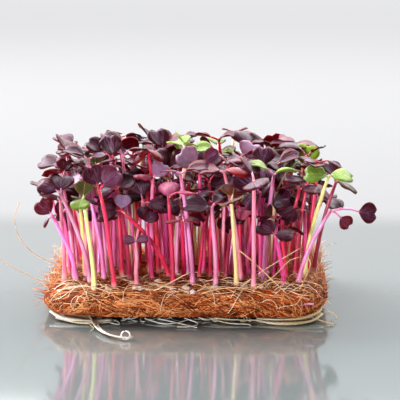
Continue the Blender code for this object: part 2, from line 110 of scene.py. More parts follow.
@dataclass(frozen=True)
class MatForm:
    """The shape of the growing mat: as the solid one has it, but with its rim curled up a little more."""

    width: float = MAT_WIDTH
    depth: float = MAT_DEPTH
    flat_share: float = 0.955
    bend: float = 5.0
    bend_drop: float = 0.10
    side_slope: float = 0.95
    bulge: float = 2.9
    tuck: float = 3.2
    rag: float = 0.008

    def rim_share(self, x: float, y: float) -> float:
        """0 at the middle of the mat and 1 at its rim."""
        return max(abs(x) / (self.width / 2), abs(y) / (self.depth / 2))

    def top(self, x: float, y: float) -> float:
        """The height of the mat's top at a place of the plan."""
        broad = math.sin(0.42 * x + 0.31 * y) * math.cos(0.5 * y - 0.13 * x)
        small = 0.6 * math.sin(0.9 * x - 0.7 * y)
        left = ramp(-x, LEFT_END_START, self.width / 2) ** 2
        fall = RIM_DROP * min(1.0, self.rim_share(x, y)) ** 12
        return MAT_TOP + RELIEF * (broad + small) - fall - LEFT_END_DROP * left

    def underside(self, x: float, y: float) -> float:
        """The height of the mat's underside, which curls up at the rim and most at the left."""
        left = ramp(-x, LEFT_END_START, self.width / 2)
        return MAT_UNDERSIDE + RIM_LIFT * (0.35 + left) * min(1.0, self.rim_share(x, y)) ** 10

    def plan(self, u: float, v: float, width: float, depth: float) -> tuple[float, float]:
        """Where a point u, v of a square lies on a rectangle with round corners and a ragged edge.

        Args:
            u: From -1 at the left to 1 at the right.
            v: From -1 in front to 1 at the back.
            width: The rectangle's size along X.
            depth: Its size along Y.

        Returns:
            The x and y of the point.
        """
        reach = (abs(u) ** CORNER_POWER + abs(v) ** CORNER_POWER) ** (1 / CORNER_POWER)
        pull = max(abs(u), abs(v)) / reach if reach else 1.0
        turn = math.atan2(v, u)
        waves = math.sin(9 * turn + 1.0) + 0.6 * math.sin(17 * turn) + 0.5 * math.sin(29 * turn)
        edge = 1 + self.rag * waves
        return u * pull * edge * width / 2, v * pull * edge * depth / 2

    def point(self, u: float, v: float, w: float) -> Place:
        """A point of the mat, on its surface where u, v or w is at an end of its range.

        Args:
            u: From -1 at the left to 1 at the right.
            v: From -1 in front to 1 at the back.
            w: From -1 underneath to 1 on top.

        Returns:
            The place in the row frame.
        """
        inset = UNDERSIDE_INSET * ramp(-w, -0.4, 1) ** 2 + TOP_INSET * ramp(w, 0, 1) ** 3
        x, y = self.plan(u, v, self.width - 2 * inset, self.depth - 2 * inset)
        low, high = self.underside(x, y), self.top(x, y)
        return x, y, low + (high - low) * (w + 1) / 2

    def drape(self, points: Array) -> Array:
        """Lays points of x, y and height over the mat, on its top and down over its sides.

        Args:
            points: Rows of x and y in the plan and of a height over the surface.

        Returns:
            Rows of places in the row frame.
        """
        laid = np.empty_like(points)
        for row, (x, y, height) in enumerate(points):
            u, v = x / (self.width / 2), y / (self.depth / 2)
            reach = (abs(u) ** CORNER_POWER + abs(v) ** CORNER_POWER) ** (1 / CORNER_POWER)
            if reach <= self.flat_share:
                laid[row] = (x, y, self.top(x, y) + height)
                continue
            slope_x = abs(u) ** (CORNER_POWER - 1) * np.sign(u) / self.width
            slope_y = abs(v) ** (CORNER_POWER - 1) * np.sign(v) / self.depth
            out = np.array((slope_x, slope_y))
            out /= np.linalg.norm(out)
            edge = np.array((x, y)) * self.flat_share / reach
            beyond = np.linalg.norm(np.array((x, y)) - edge)
            high, low = self.top(*edge), self.underside(*edge)
            round_off = self.bulge * math.sin(min(1.0, beyond / self.bend) * math.pi / 2)
            round_off -= self.tuck * ramp(beyond, 6.5, 14)
            fall = self.bend_drop * min(beyond, self.bend) ** 2
            fall += self.side_slope * max(0.0, beyond - self.bend)
            drop = min(high - low, fall)
            laid[row, :2] = edge + out * (round_off + height * ramp(beyond, 0, 4))
            laid[row, 2] = high - drop + height * (1 - ramp(beyond, 0, 4))
        return laid


MAT = MatForm()


class StemLook(Enum):
    """The colours that the stems come in."""

    MAGENTA = srgb(255, 92, 172)
    ROSE = srgb(255, 160, 198)
    ORCHID = srgb(255, 150, 222)
    CRIMSON = srgb(238, 46, 96)
    WINE = srgb(186, 56, 100)
    LIME = srgb(255, 240, 156)
    BUFF = srgb(248, 222, 172)


class LeafLook(Enum):
    """The colours that the upper faces of the seed leaves come in."""

    PURPLE = srgb(52, 8, 22)
    DUSK = srgb(54, 3, 16)
    MAROON = srgb(80, 5, 12)
    # Painted glow in part: a brighter orange red for red brown leaves that the light shines through from
    # behind
    RUST = srgb(110, 14, 12)
    LILAC = srgb(88, 36, 62)
    # Painted sheen: a pale grey lilac for leaves whose upper face catches the light, in place of their
    # darker purple
    MAUVE = srgb(150, 110, 138)
    PINK = srgb(180, 74, 104)
    GREEN = srgb(106, 134, 38)
    OLIVE = srgb(66, 58, 22)


@dataclass(frozen=True)
class Leaf:
    """A seed leaf: where it points, its lift and roll, its stalk and size, and its own dome and colour."""

    yaw: float
    lift: float
    roll: float
    stalk: float = 3.0
    size: float = 1.0
    dome: float | None = None
    look: LeafLook | None = None


@dataclass(frozen=True)
class Sprout:
    """A seedling: where it leaves the mat, where its two leaves start, the leaves and how it looks."""

    base: tuple[float, float]
    head: Place
    leaves: tuple[Leaf, ...]
    kind: str = PURPLE_KIND
    stem_look: StemLook = StemLook.MAGENTA
    leaf_look: LeafLook = LeafLook.PURPLE
    girth: float = 1.05


def plant(
    base: tuple[float, float],
    head: Place,
    first: tuple[float, ...],
    second: tuple[float, ...],
    stem_look: StemLook = StemLook.MAGENTA,
    leaf_look: LeafLook = LeafLook.PURPLE,
    kind: str = PURPLE_KIND,
) -> Sprout:
    """A listed seedling, its leaves given as yaw, lift, roll, stalk, size, dome and colour.

    Args:
        base: The x and y of its foot.
        head: Where its leaves come out.
        first: The values of one leaf.
        second: The values of the other leaf.
        stem_look: The colour of its stem.
        leaf_look: The colour of its leaves.
        kind: The material slot that it belongs to.

    Returns:
        The seedling.
    """
    return Sprout(base, head, (Leaf(*first), Leaf(*second)), kind, stem_look, leaf_look)


S, L = StemLook, LeafLook

# The seedlings at the front and the ones that reach furthest: where their solids were placed
LEADING_SPROUTS = (
    plant((-51, -24), (-61, -25, 45), (180, 42, -62, 1.5, 0.95), (192, -25, 0, 2, 0.5)),
    plant((-44, -28), (-57, -28, 56), (188, 18, -35, 2), (65, 40, 10, 3)),
    plant((-41, -40), (-46, -41, 56), (196, -4, -20, 2, 0.75), (15, 55, 70, 2.5)),
    plant((-39, -21), (-47, -19, 64), (150, 22, 10, 4), (-35, 30, 10, 4)),
    plant((-32, -38), (-38.5, -39, 60), (180, 62, -72, 2.5, 1.15), (2, 46, 66, 3, 1.2)),
    plant((-30, -17), (-33, -18, 71), (174, 14, -10, 4, 1.05), (10, 82, 84, 1.5, 1.15)),
    plant((-8, -18), (-30, -30, 45), (184, 2, -45, 2), (15, 46, 40, 3, 0.95)),
    plant((-22, -34), (-23, -40, 35), (184, 6, -20, 1.5, 0.85), (-6, 12, 20, 1.5, 0.6)),
    plant((-16, -22), (-18, -27, 40), (110, 66, 0, 1.5, 0.95), (15, 52, 0, 2, 0.8)),
    plant((-27, -3), (-27, -6, 53), (190, 14, -50, 2), (-12, 14, 50, 2)),
    plant((-5.5, -34), (-8, -37, 56), (205, 48, -30, 1.5, 0.85), (-8, 12, 10, 3, 0.85)),
    plant((-17, -10), (-16, -19, 59), (182, 16, -20, 2, 0.95), (25, 40, 40, 3, 1.05)),
    plant((5.5, -34), (-2.5, -37, 68), (182, 8, 0, 3, 0.95), (-4, 6, 4, 4, 1.1)),
    plant((-1, -22), (-1, -43, 42), (182, 4, 0, 1.5, 0.7), (-3, 6, 0, 1.5, 0.7)),
    plant((14, -33), (12, -36, 51), (184, 6, -32, 2.5, 1.25), (40, 40, 10, 2, 0.8)),
    plant((25.5, -24), (17.5, -27, 66), (170, 12, -10, 2, 0.95), (-6, 10, 10, 3, 1.15)),
    plant((31, -10), (13, -12, 60), (140, 20, 0, 3), (-50, 15, 0, 3)),
    plant((36, -25), (41, -28, 65), (172, 18, -32, 3, 1.2), (10, 30, 30, 3, 1.1)),
    plant((39, -8), (42, -12, 51), (140, 66, 0, 9, 0.95), (25, 60, 0, 10, 1.0)),
    plant((28, -19), (34, -30, 57), (178, 6, -48, 2.5, 1.2), (-100, -38, 0, 2, 0.9)),
    plant((45, -31), (41, -38, 37), (150, 26, -30, 1.5, 0.95), (-20, -8, 30, 1.5, 0.8)),
    plant((45, -14), (53, -17, 57), (120, 20, 0, 3), (-40, 25, 10, 3)),
    plant((55, -16), (66, -22, 63), (176, 8, -34, 3, 1.2), (-8, -12, 26, 3, 1.1)),
    plant((52, -27), (73, -29, 45), (-110, -64, 0, 2.5, 0.65), (-3, -3, 74, 9, 1.05)),
    plant((59, -6), (70, -4, 58), (160, 12, 0, 3), (4, -16, 14, 3, 1.05)),
    plant((18, 18), (15, 18, 73), (182, 4, 0, 5, 0.9), (-2, 14, 0, 2.5, 0.9)),
    plant((3, 6), (2, 2, 70), (178, 16, -40, 3, 1.0), (2, 18, 44, 3, 1.0)),
    plant((8, -10), (6, -14, 62), (176, 26, -66, 3, 1.2), (4, 36, 66, 3, 1.25)),
    plant((53, 8), (54, 2, 64), (200, 20, 0, 3), (25, 58, 70, 3, 1.2)),
    plant((46, 22), (51, 20, 72), (176, 10, 0, 3, 1.1), (-6, -4, 0, 3, 1.1)),
    plant((-52, 14), (-70, 18, 60), (175, 16, -20, 2.5, 1.1), (20, 24, 0, 3)),
)

# The same seedlings as they are shown: some nearer to each other than the solid ones can stand
SHOWN_SPROUTS = (
    plant(
        (-51, -24), (-61, -25, 45), (178, 50, -60, 1.8, 0.9, 0.2), (192, -25, 0, 2, 0.5),
        S.ORCHID, L.MAROON,
    ),
    plant(
        (-44, -28), (-57, -28, 56), (172, 38, -35, 2, 1.05, 0.5), (90, 45, 10, 2, 1.1, 0),
        S.ROSE, L.DUSK,
    ),
    plant(
        (-41, -40), (-45.4, -41, 56.5), (75, 66, 0, 1.2, 0.85, 0), (-100, -18, 0, 0.6, 0.85, 0, L.GREEN),
        S.LIME, L.OLIVE, GREEN_KIND,
    ),
    plant(
        (-38, -23), (-46.6, -19, 62), (172, -10, -30, 1.5, 0.85, 0.5, L.MAUVE),
        (-30, 30, 10, 3, 0.9, 0, L.RUST), S.ORCHID,
    ),
    plant(
        (-32, -38), (-38.4, -39, 60.5), (180, 70, -72, 2.2, 1.0, 0), (0, 44, 66, 2.6, 1.1, 0, L.LILAC),
        S.CRIMSON,
    ),
    plant(
        (-30, -17), (-33.4, -18, 71), (174, 33, -30, 6, 0.95, 0), (170, 78, -86, 1.2, 1.05, 0),
        S.CRIMSON,
    ),
    plant(
        (-8, -18), (-29.3, -30, 49), (182, -8, -50, 1.6, 1.0, 0), (70, 66, 20, 1, 0.75, 0, L.MAUVE),
        S.CRIMSON, L.DUSK,
    ),
    plant(
        (-22, -34), (-22, -40, 37), (184, 14, -20, 0.2, 0.62, 0.2), (0, 20, 20, 0.2, 0.62, 0.2),
        S.ROSE, L.LILAC,
    ),
    plant(
        (-16, -22), (-18, -27, 42), (120, 78, 0, 1.4, 0.8, 0.2), (12, 60, 84, 0.8, 0.7, 0),
        S.MAGENTA, L.DUSK,
    ),
    plant(
        (-27, -3), (-27.7, -6, 53), (-95, -12, 0, 0.6, 1.0, 0), (85, 10, 0, 2, 0.9),
        S.BUFF, L.OLIVE, GREEN_KIND,
    ),
    plant(
        (-5.5, -34), (-7.3, -37, 57), (90, 82, 0, 0, 0.92, 2.6), (0, 22, 0, 4.2, 0.85, 0.6),
        S.CRIMSON, L.PINK,
    ),
    plant(
        (-17, -10), (-15.2, -19, 62), (182, 30, 0, 0, 1.05, 0.9), (20, 52, 50, 1, 0.85, 0, L.MAUVE),
        S.ROSE, L.PINK,
    ),
    plant(
        (3.5, -34), (-2.1, -37, 68), (182, 10, 0, 1.6, 0.85, 0.4), (-4, 12, 4, 3, 1.15, 0),
        S.ROSE, L.MAROON,
    ),
    plant(
        (-1, -22), (-1, -43, 47), (182, 4, 0, 1.2, 0.75, 0.3), (-3, 6, 0, 1.2, 0.75, 0.3),
        S.CRIMSON, L.RUST,
    ),
    plant((14, -33), (12.2, -36, 52), (184, 4, -26, 1, 1.4, 0), (40, 40, 10, 2, 0.7), S.ROSE, L.PURPLE),
    plant(
        (25.5, -24), (17.5, -27, 66.8), (172, 6, -8, 2, 1.05, 0.4), (0, 24, 8, 1, 1.2, 0.7, L.RUST),
        S.ROSE, L.MAROON,
    ),
    plant((29, -10), (16.5, -12, 54), (140, 20, 0, 3, 1, 0.3), (-50, 15, 0, 3, 1, 0), S.ORCHID, L.DUSK),
    plant(
        (36, -25), (40.2, -28, 65.7), (178, 36, 4, 2.6, 1.1, 0.2), (2, 20, -4, 0.8, 1.1, 0.1),
        S.ROSE, L.GREEN, GREEN_KIND,
    ),
    plant(
        (39, -8), (41.3, -12, 53), (140, 66, 0, 9, 0.95, 0), (25, 60, 0, 10, 1, 0),
        S.BUFF, L.OLIVE, GREEN_KIND,
    ),
    plant(
        (28, -19), (34.1, -30, 57.7), (178, 42, -56, 2, 1.35, 0, L.PURPLE), (190, -25, -30, 1, 1, 0.5),
        leaf_look=L.DUSK,
    ),
    plant(
        (45, -31), (40.5, -38, 40), (150, 30, -30, 0.6, 1, 0), (-20, 15, 30, 0.6, 0.9, 0.4),
        leaf_look=L.DUSK,
    ),
    plant(
        (45, -14), (52.5, -17, 57), (150, 14, 0, 2, 1, 0.5), (-20, 10, 10, 1, 0.95, 0.6),
        S.CRIMSON, L.MAROON,
    ),
    plant(
        (55, -16), (65.4, -22, 64), (176, 8, -32, 1.2, 1.15, 0), (-6, 12, 24, 1, 1.1, 0.3),
        S.LIME, L.GREEN, GREEN_KIND,
    ),
    plant(
        (52, -27), (66.5, -29, 49.5), (-20, -38, 60, 5.5, 0.65, 0, L.MAROON), (-3, -4, 72, 12.5, 0.9, 0),
        S.ORCHID,
    ),
    plant(
        (60, -6), (70, -4, 58), (120, 50, 0, 3, 0.9, 0, L.DUSK), (0, -6, 10, 0.8, 1.1, 0.4),
        S.WINE, L.OLIVE,
    ),
    plant(
        (18, 18), (14.6, 18, 74.5), (182, 10, 0, 4, 0.85, 0), (-2, 20, 0, 0.6, 0.8, 0),
        S.CRIMSON, L.MAROON,
    ),
    plant(
        (3, 6), (2.6, 2, 71), (180, 28, -20, 0.4, 0.95, 0), (0, 24, 20, 0.4, 0.95, 0),
        S.LIME, L.GREEN, GREEN_KIND,
    ),
    plant(
        (8, -10), (6, -14, 66), (178, 40, -60, 2, 1.1, 0, L.MAUVE), (2, 34, 62, 3.2, 0.95, 0),
        S.MAGENTA, L.LILAC,
    ),
    plant(
        (53, 8), (54.5, 2, 64.5), (200, 20, 0, 1.4, 0.95, 0.5, L.DUSK), (60, 60, 28, 0.8, 1.15, 0),
        S.BUFF, L.GREEN, GREEN_KIND,
    ),
    plant(
        (46, 22), (51.7, 20, 72), (176, 28, 0, 0.6, 0.95, 0.2), (0, 8, 0, 0.6, 1.2, 0.5),
        S.WINE, L.MAROON,
    ),
    plant(
        (-52, 14), (-62, 18, 61), (165, 18, -20, 1.2, 1.1, 0, L.PURPLE), (20, 24, 0, 2, 1, 0.5),
        S.CRIMSON, L.OLIVE,
    ),
)

# How some of the drawn seedlings near the front are shown, by their number
SHOWN_CHANGES = {
    33: {"stem_look": S.ROSE},
    47: {"leaves": (Leaf(40, 20, 0, 3, 1.1), Leaf(130, 24, 0, 2, 1.0))},
    51: {"stem_look": S.BUFF, "leaf_look": L.MAROON},
}

# Thin seedlings that hide others or stand too high, by their number in the stand: they aren't built
THINNED_OUT = (98, 104, 159, 203, 220)

# More seedlings that make up the crowded top of the stand, too close to the others to have solids
CANOPY_SPROUTS = (
    plant((-13, -12), (-17.6, -14, 74), (180, -6, 0, 0, 0.85, 1), (0, 5, 0, 0, 0.85, 1), S.CRIMSON, L.RUST),
    plant((-24, 18), (-26.7, 16, 72), (180, 12, 0, 1.5), (0, 14, 0, 1.5, 1, 0, L.DUSK), S.WINE),
    plant(
        (-24, 6), (-26.4, 4, 69), (184, 8, -10, 1.5, 1.1), (-6, 10, 10, 1.5, 1.1, 0, L.MAROON),
        S.CRIMSON, L.DUSK,
    ),
    plant(
        (-10, 8), (-11.8, 6, 71), (120, 60, 0, 1, 1.15, 0), (-20, 30, 20, 1, 1.1, 0, L.MAROON),
        S.MAGENTA,
    ),
    plant(
        (-7, -6), (-8.8, -8, 64), (150, 40, -40, 1.5, 1.15, 0), (10, 30, 30, 1.5, 1.2, 0),
        S.CRIMSON, L.DUSK,
    ),
    plant((-5, 28), (-5, 26, 71), (180, 20, 0, 1, 1, 0.3, L.LILAC), (0, 26, 0, 1, 1, 0), S.WINE),
    plant((27, 24), (28.6, 22, 70), (120, 55, 0, 1, 1.1, 0.5), (0, 20, 0, 1, 1.1, 0), S.CRIMSON),
    plant((28, 2), (28, 0, 67), (60, 50, 30, 1, 1.1, 0, L.MAUVE), (180, 10, 0, 1, 1, 0), S.ROSE, L.DUSK),
    plant(
        (40, -4), (42, -4, 66), (178, 14, -10, 1.5, 1.2, 0.4), (0, 24, 20, 1.5, 1.15, 0, L.MAROON),
        S.CRIMSON, L.DUSK,
    ),
    plant((35, -8), (35.9, -10, 66), (90, 70, 0, 1, 1, 0), (-90, -10, 0, 1, 1, 0.3, L.DUSK)),
    plant(
        (24, 12), (24.7, 10, 66), (180, 30, 0, 2, 0.8, 0), (0, 50, 0, 2, 0.7, 0),
        S.LIME, L.GREEN, GREEN_KIND,
    ),
    plant((38, 30), (38.3, 28, 70), (180, 10, 0, 1, 1, 0, L.MAROON), (0, 12, 0, 1, 1, 0), S.WINE),
    plant((-42, 0), (-46.7, -2, 68), (178, 22, -20, 2, 1.15, 0), (0, 20, 20, 2, 1, 0, L.LILAC), S.ROSE),
    plant((-48, 8), (-53.3, 6, 61), (180, 30, -30, 1, 1.1, 0, L.LILAC), (0, 24, 20, 1, 1.1, 0), S.ROSE),
    plant(
        (-26, -22), (-31.8, -24, 58), (182, -8, -20, 1, 0.95, 0.4), (0, 30, 50, 1.5, 0.9, 0),
        S.CRIMSON, L.DUSK,
    ),
    plant((18, -2), (18.2, -4, 64), (180, 16, -10, 2, 1.1, 0), (0, 16, 10, 2, 1.1, 0.4), S.CRIMSON, L.DUSK),
    plant(
        (25, -14), (24.8, -16, 58), (176, 10, -20, 1, 1.2, 0.4), (10, 10, 20, 1, 1.1, 0.4),
        S.CRIMSON, L.DUSK,
    ),
    plant(
        (-42, 4), (-43.4, 2, 63), (100, 40, 0, 2, 1, 0), (-70, 10, 0, 1.5, 0.9, 0.4, L.GREEN),
        S.LIME, L.OLIVE, GREEN_KIND,
    ),
    plant(
        (11, -18), (12.4, -20, 56), (176, -6, -20, 1, 1.1, 0.5), (0, 0, 20, 1, 1.1, 0.5),
        S.CRIMSON, L.DUSK,
    ),
    plant(
        (57, 6), (58.9, 4, 55), (150, 14, 0, 1, 1.1, 0.4), (-20, -14, 0, 1, 1.1, 0.6, L.MAROON),
        S.WINE, L.DUSK,
    ),
    plant(
        (-18, -4), (-19.2, -6, 63), (170, 0, -10, 2, 1.1, 0.5), (20, 10, 0, 2, 1.1, 0.5, L.MAROON),
        S.CRIMSON, L.DUSK,
    ),
    plant(
        (44, -8), (46.1, -10, 62), (120, 30, 0, 1.5, 1.1, 0), (-50, 0, 0, 1.5, 1.1, 0.5, L.DUSK),
        S.CRIMSON,
    ),
)

# How often each colour is drawn
GREEN_STEMS = {S.LIME: 0.4, S.BUFF: 0.35, S.ROSE: 0.25}
GREEN_LEAVES = {L.GREEN: 0.3, L.OLIVE: 0.7}
PURPLE_LEAVES = {L.PURPLE: 0.28, L.DUSK: 0.42, L.MAROON: 0.23, L.LILAC: 0.05, L.PINK: 0.02}


def picked(chances: dict[Enum, float], rng: np.random.Generator) -> Enum:
    """One of the colours, drawn by their chances.

    Args:
        chances: The chance of each colour.
        rng: The source of the draw.

    Returns:
        The colour.
    """
    shares = np.array(list(chances.values()))
    return rng.choice(list(chances), p=shares / shares.sum())


@dataclass
class Sowing:
    """Where every seedling stands: the solid ones by the source's own rule, then thinner ones between."""

    seed: int = 9687
    look_seed: int = 9692
    filler_seed: int = 9691
    groups: int = 55
    twins: int = 15
    twin_step: float = 1.25
    twin_lean: float = 5.0
    twin_part: float = 20.0
    margin: float = 7.0
    places_drawn: int = 14
    leaf_clearance: float = 0.85
    stem_clearance: float = 1.2
    nudge: float = 0.06
    tries: int = 120
    fillers: int = 360
    front_free: float = -19.0
    filler_tries: int = 20
    filler_share: float = 0.36
    left_reach: float = -58.0
    heights: tuple[float, float] = (48.0, 74.0)
    green_share: float = 0.14
    green_from: float = 12.0
    thin_sizes: tuple[float, float] = (0.75, 1.0)
    thin_drop: float = 9.0
    thin_girths: tuple[float, float] = (0.7, 0.95)
    sprouts: list[Sprout] = field(default_factory=list)
    taken: list[Array] = field(default_factory=list)

    def stem_points(self, sprout: Sprout, shares: Sequence[float]) -> Array:
        """Points of the stem's centre line, from the mat's surface at 0 to the leaves at 1.

        Args:
            sprout: The seedling.
            shares: Where along the stem the points are.

        Returns:
            Rows of places in the row frame.
        """
        t = np.asarray(shares, float)[:, None]
        foot = np.array((*sprout.base, MAT_TOP + COLLAR))
        head = np.array(sprout.head, float)
        bend = foot + (head - foot) * (0.12, 0.12, 0.42)
        return foot * (1 - t) ** 2 + bend * 2 * t * (1 - t) + head * t**2

    def probes(self, sprout: Sprout) -> Array:
        """Points all over a seedling with the clear space that each one keeps.

        Args:
            sprout: The seedling.

        Returns:
            Rows of x, y, z and the clear space.
        """
        stem = self.stem_points(sprout, np.linspace(0, 1, 36))
        found = [np.column_stack([stem, np.full(len(stem), self.stem_clearance)])]
        for leaf in sprout.leaves:
            blade = BladeForm().solid_points(sprout, leaf, np.linspace(0, 1, 7), np.linspace(-1, 1, 7))
            stalk = np.array(sprout.head) + leaf_axes(leaf)[0] * np.arange(1.0, leaf.stalk, 1.2)[:, None]
            points = np.vstack([stalk, blade])
            found.append(np.column_stack([points, np.full(len(points), self.leaf_clearance)]))
        return np.vstack(found)

    def is_clear(self, ours: Array, others: Iterable[Array]) -> bool:
        """Whether no probe of ours is in the clear space of any probe of the others.

        Args:
            ours: The probes of one seedling.
            others: The probes of each of the others.

        Returns:
            True if they are all apart.
        """
        reach = 2 * self.stem_clearance
        low, high = ours[:, :3].min(0) - reach, ours[:, :3].max(0) + reach
        for theirs in others:
            near = theirs[((theirs[:, :3] > low) & (theirs[:, :3] < high)).all(1)]
            apart = np.linalg.norm(ours[:, None, :3] - near[None, :, :3], axis=2)
            if (apart <= ours[:, None, 3] + near[None, :, 3]).any():
                return False
        return True

    def nudged(self, sprout: Sprout, rng: np.random.Generator, reach: float) -> Sprout:
        """The same seedling with its head moved and its leaves turned a little.

        Args:
            sprout: The seedling.
            rng: The source of its draws.
            reach: How much it may change, where 0 is not at all.

        Returns:
            The changed seedling.
        """
        head = tuple(np.array(sprout.head) + rng.uniform(-1, 1, 3) * (reach, reach, reach * 0.8))
        leaves = tuple(
            replace(
                leaf,
                yaw=leaf.yaw + rng.uniform(-5, 5) * reach,
                lift=leaf.lift + rng.uniform(-4, 4) * reach,
            )
            for leaf in sprout.leaves
        )
        return replace(sprout, head=head, leaves=leaves)

    def drawn(self, base: Array, rng: np.random.Generator) -> Sprout:
        """A seedling drawn at random for this place: the nearer to the rim, the more it leans out.

        Args:
            base: The x and y of its foot.
            rng: The source of its draws.

        Returns:
            The seedling, in no colours yet.
        """
        out = np.array(base) / (MAT_WIDTH / 2, MAT_DEPTH / 2)
        lean = out * np.abs(out) * rng.uniform(2, 9) + rng.normal(0, 2.6, 2)
        height = rng.uniform(*self.heights) - 4 * max(abs(out)) ** 4
        yaw = rng.uniform(0, 360)
        leaves = tuple(
            Leaf(
                turn + rng.normal(0, 16),
                rng.normal(18, 20),
                rng.normal(0, 26),
                rng.uniform(2, 5),
                rng.uniform(0.9, 1.2),
            )
            for turn in (yaw, yaw + 180)
        )
        kind = GREEN_KIND if rng.random() < self.green_share else PURPLE_KIND
        return Sprout(tuple(base), (base[0] + lean[0], base[1] + lean[1], height), leaves, kind)

    def open_place(self, bases: list[tuple[float, float]], rng: np.random.Generator) -> Array:
        """Of some places drawn in the mat, the one that is furthest from all the bases.

        Args:
            bases: The feet of the seedlings that stand already.
            rng: The source of its draws.

        Returns:
            The x and y of the place.
        """
        reach = np.array((MAT_WIDTH / 2, MAT_DEPTH / 2)) - self.margin
        places = rng.uniform(-1, 1, (self.places_drawn, 2)) * reach
        spacing = np.linalg.norm(places[:, None] - np.array(bases)[None], axis=2).min(1)
        return places[spacing.argmax()]

    def drawn_twin(self, lead: Sprout, rng: np.random.Generator) -> Sprout:
        """A second seedling out of the lead's hole, which leans away from it.

        Args:
            lead: The seedling that stands in the hole.
            rng: The source of its draws.

        Returns:
            The second seedling.
        """
        turn = rng.uniform(0, 2 * math.pi)
        away = np.array((math.cos(turn), math.sin(turn)))
        twin = self.drawn(np.array(lead.base) + away * self.twin_step, rng)
        x, y, z = twin.head
        head = (x + self.twin_lean * away[0], y + self.twin_lean * away[1], z)
        return replace(twin, head=head, kind=lead.kind)

    def first_clear(self, draw: Callable[[int], Sprout], tries: int) -> Sprout | None:
        """The first of some drawn seedlings that is clear of all that stand already, or None.

        Args:
            draw: Draws a seedling for the number of a try.
            tries: How many are drawn at most.

        Returns:
            The seedling, or None.
        """
        for attempt in range(tries):
            drawn = draw(attempt)
            if self.is_clear(self.probes(drawn), self.taken):
                return drawn
        return None

    def is_clear_twin(self, twin: Sprout, lead: Sprout, others: list[Array]) -> bool:
        """Whether a twin is clear of the others, and of its lead above the part where they are fused."""
        low = MAT_TOP + self.twin_part
        ours, theirs = (cloud[cloud[:, 2] > low] for cloud in (self.probes(twin), self.probes(lead)))
        return self.is_clear(self.probes(twin), others) and self.is_clear(ours, [theirs])

    def keep(self, sprout: Sprout | None) -> None:
        """Adds a seedling that stands clear."""
        if sprout:
            self.sprouts.append(sprout)
            self.taken.append(self.probes(sprout))

    def sow(self) -> list[Sprout]:
        """Sows the seedlings that have solids.

        Returns:
            The seedlings, each dressed in its colours. The leading ones are the ones that are shown, since
            fine blades need less room than solid ones.
        """
        rng = np.random.default_rng(self.seed)
        for lead in LEADING_SPROUTS:
            self.keep(
                self.first_clear(lambda attempt: self.nudged(lead, rng, self.nudge * attempt), self.tries)
            )
        placed = len(self.sprouts)
        while len(self.sprouts) < self.groups:
            base = self.open_place([standing.base for standing in self.sprouts], rng)
            self.keep(self.first_clear(lambda attempt: self.drawn(base, rng), self.tries))
        for number in range(self.groups - self.twins, self.groups):
            lead = self.sprouts[number]
            others = self.taken[:number] + self.taken[number + 1 :]
            for _ in range(self.tries):
                twin = self.drawn_twin(lead, rng)
                if self.is_clear_twin(twin, lead, others):
                    self.keep(twin)
                    break
        looks = np.random.default_rng(self.look_seed)
        self.sprouts[:placed] = SHOWN_SPROUTS
        self.sprouts[placed:] = [self.dressed(plain, looks) for plain in self.sprouts[placed:]]
        for number, changes in SHOWN_CHANGES.items():
            self.sprouts[number - 1] = replace(self.sprouts[number - 1], **changes)
        return self.sprouts

    def dressed(self, sprout: Sprout, rng: np.random.Generator) -> Sprout:
        """The seedling with a stem and leaf colour drawn for its kind.

        Args:
            sprout: The seedling.
            rng: The source of its draws.

        Returns:
            The dressed seedling.
        """
        if sprout.kind == GREEN_KIND:
            return replace(sprout, stem_look=picked(GREEN_STEMS, rng), leaf_look=picked(GREEN_LEAVES, rng))
        # Painted light: towards the brightly lit left end, pale rose and orchid stems are drawn more often
        # and crimson and wine ones less
        left = ramp(-sprout.base[0], -30, 50)
        stems = {
            S.MAGENTA: 0.3,
            S.ROSE: 0.08 + 0.5 * left,
            S.ORCHID: 0.4 * left,
            S.CRIMSON: 0.4 - 0.36 * left,
            S.WINE: 0.16 - 0.14 * left,
            S.BUFF: 0.14,
        }
        return replace(sprout, stem_look=picked(stems, rng), leaf_look=picked(PURPLE_LEAVES, rng))

    def fill(self) -> list[Sprout]:
        """Sows more seedlings, closer than solids could stand: the crowded top, then thinner ones between.

        Returns:
            The seedlings that it added.
        """
        rng = np.random.default_rng(self.filler_seed)
        closer = np.array((1, 1, 1, self.filler_share))
        self.taken = [cloud * closer for cloud in self.taken]
        found = list(CANOPY_SPROUTS)
        self.taken += [self.probes(placed) * closer for placed in found]
        self.sprouts += found
        for _ in range(self.fillers):
            base = self.filler_place(rng)
            thin = self.first_clear_thin(base, rng, closer)
            if thin:
                self.sprouts.append(thin)
                found.append(self.dressed(thin, rng))
        return found

    def filler_place(self, rng: np.random.Generator) -> Array:
        """An open place behind the leading seedlings."""
        low = np.array((self.margin - MAT_WIDTH / 2, self.front_free))
        high = np.array((MAT_WIDTH / 2, MAT_DEPTH / 2)) - self.margin
        places = rng.uniform(low, high, (self.places_drawn, 2))
        bases = np.array([placed.base for placed in self.sprouts])
        return places[np.linalg.norm(places[:, None] - bases[None], axis=2).min(1).argmax()]

    def first_clear_thin(self, base: Array, rng: np.random.Generator, closer: Array) -> Sprout | None:
        """The first of some thin seedlings drawn for this place that is clear of the others, or None.

        Args:
            base: The x and y of its foot.
            rng: The source of its draws.
            closer: What each column of the probes is multiplied by, to let them stand closer.

        Returns:
            The seedling, or None.
        """
        for _ in range(self.filler_tries):
            thin = self.drawn(base, rng)
            x, y, z = thin.head
            sizes = [leaf.size * rng.uniform(*self.thin_sizes) for leaf in thin.leaves]
            leaves = tuple(replace(leaf, size=size) for leaf, size in zip(thin.leaves, sizes))
            head = (max(x, self.left_reach), y, z - rng.uniform(0, self.thin_drop))
            kind = thin.kind if y > self.green_from else PURPLE_KIND
            girth = rng.uniform(*self.thin_girths)
            thin = replace(thin, head=head, leaves=leaves, kind=kind, girth=girth)
            cloud = self.probes(thin) * closer
            if self.is_clear(cloud, self.taken):
                self.taken.append(cloud)
                return thin
        return None


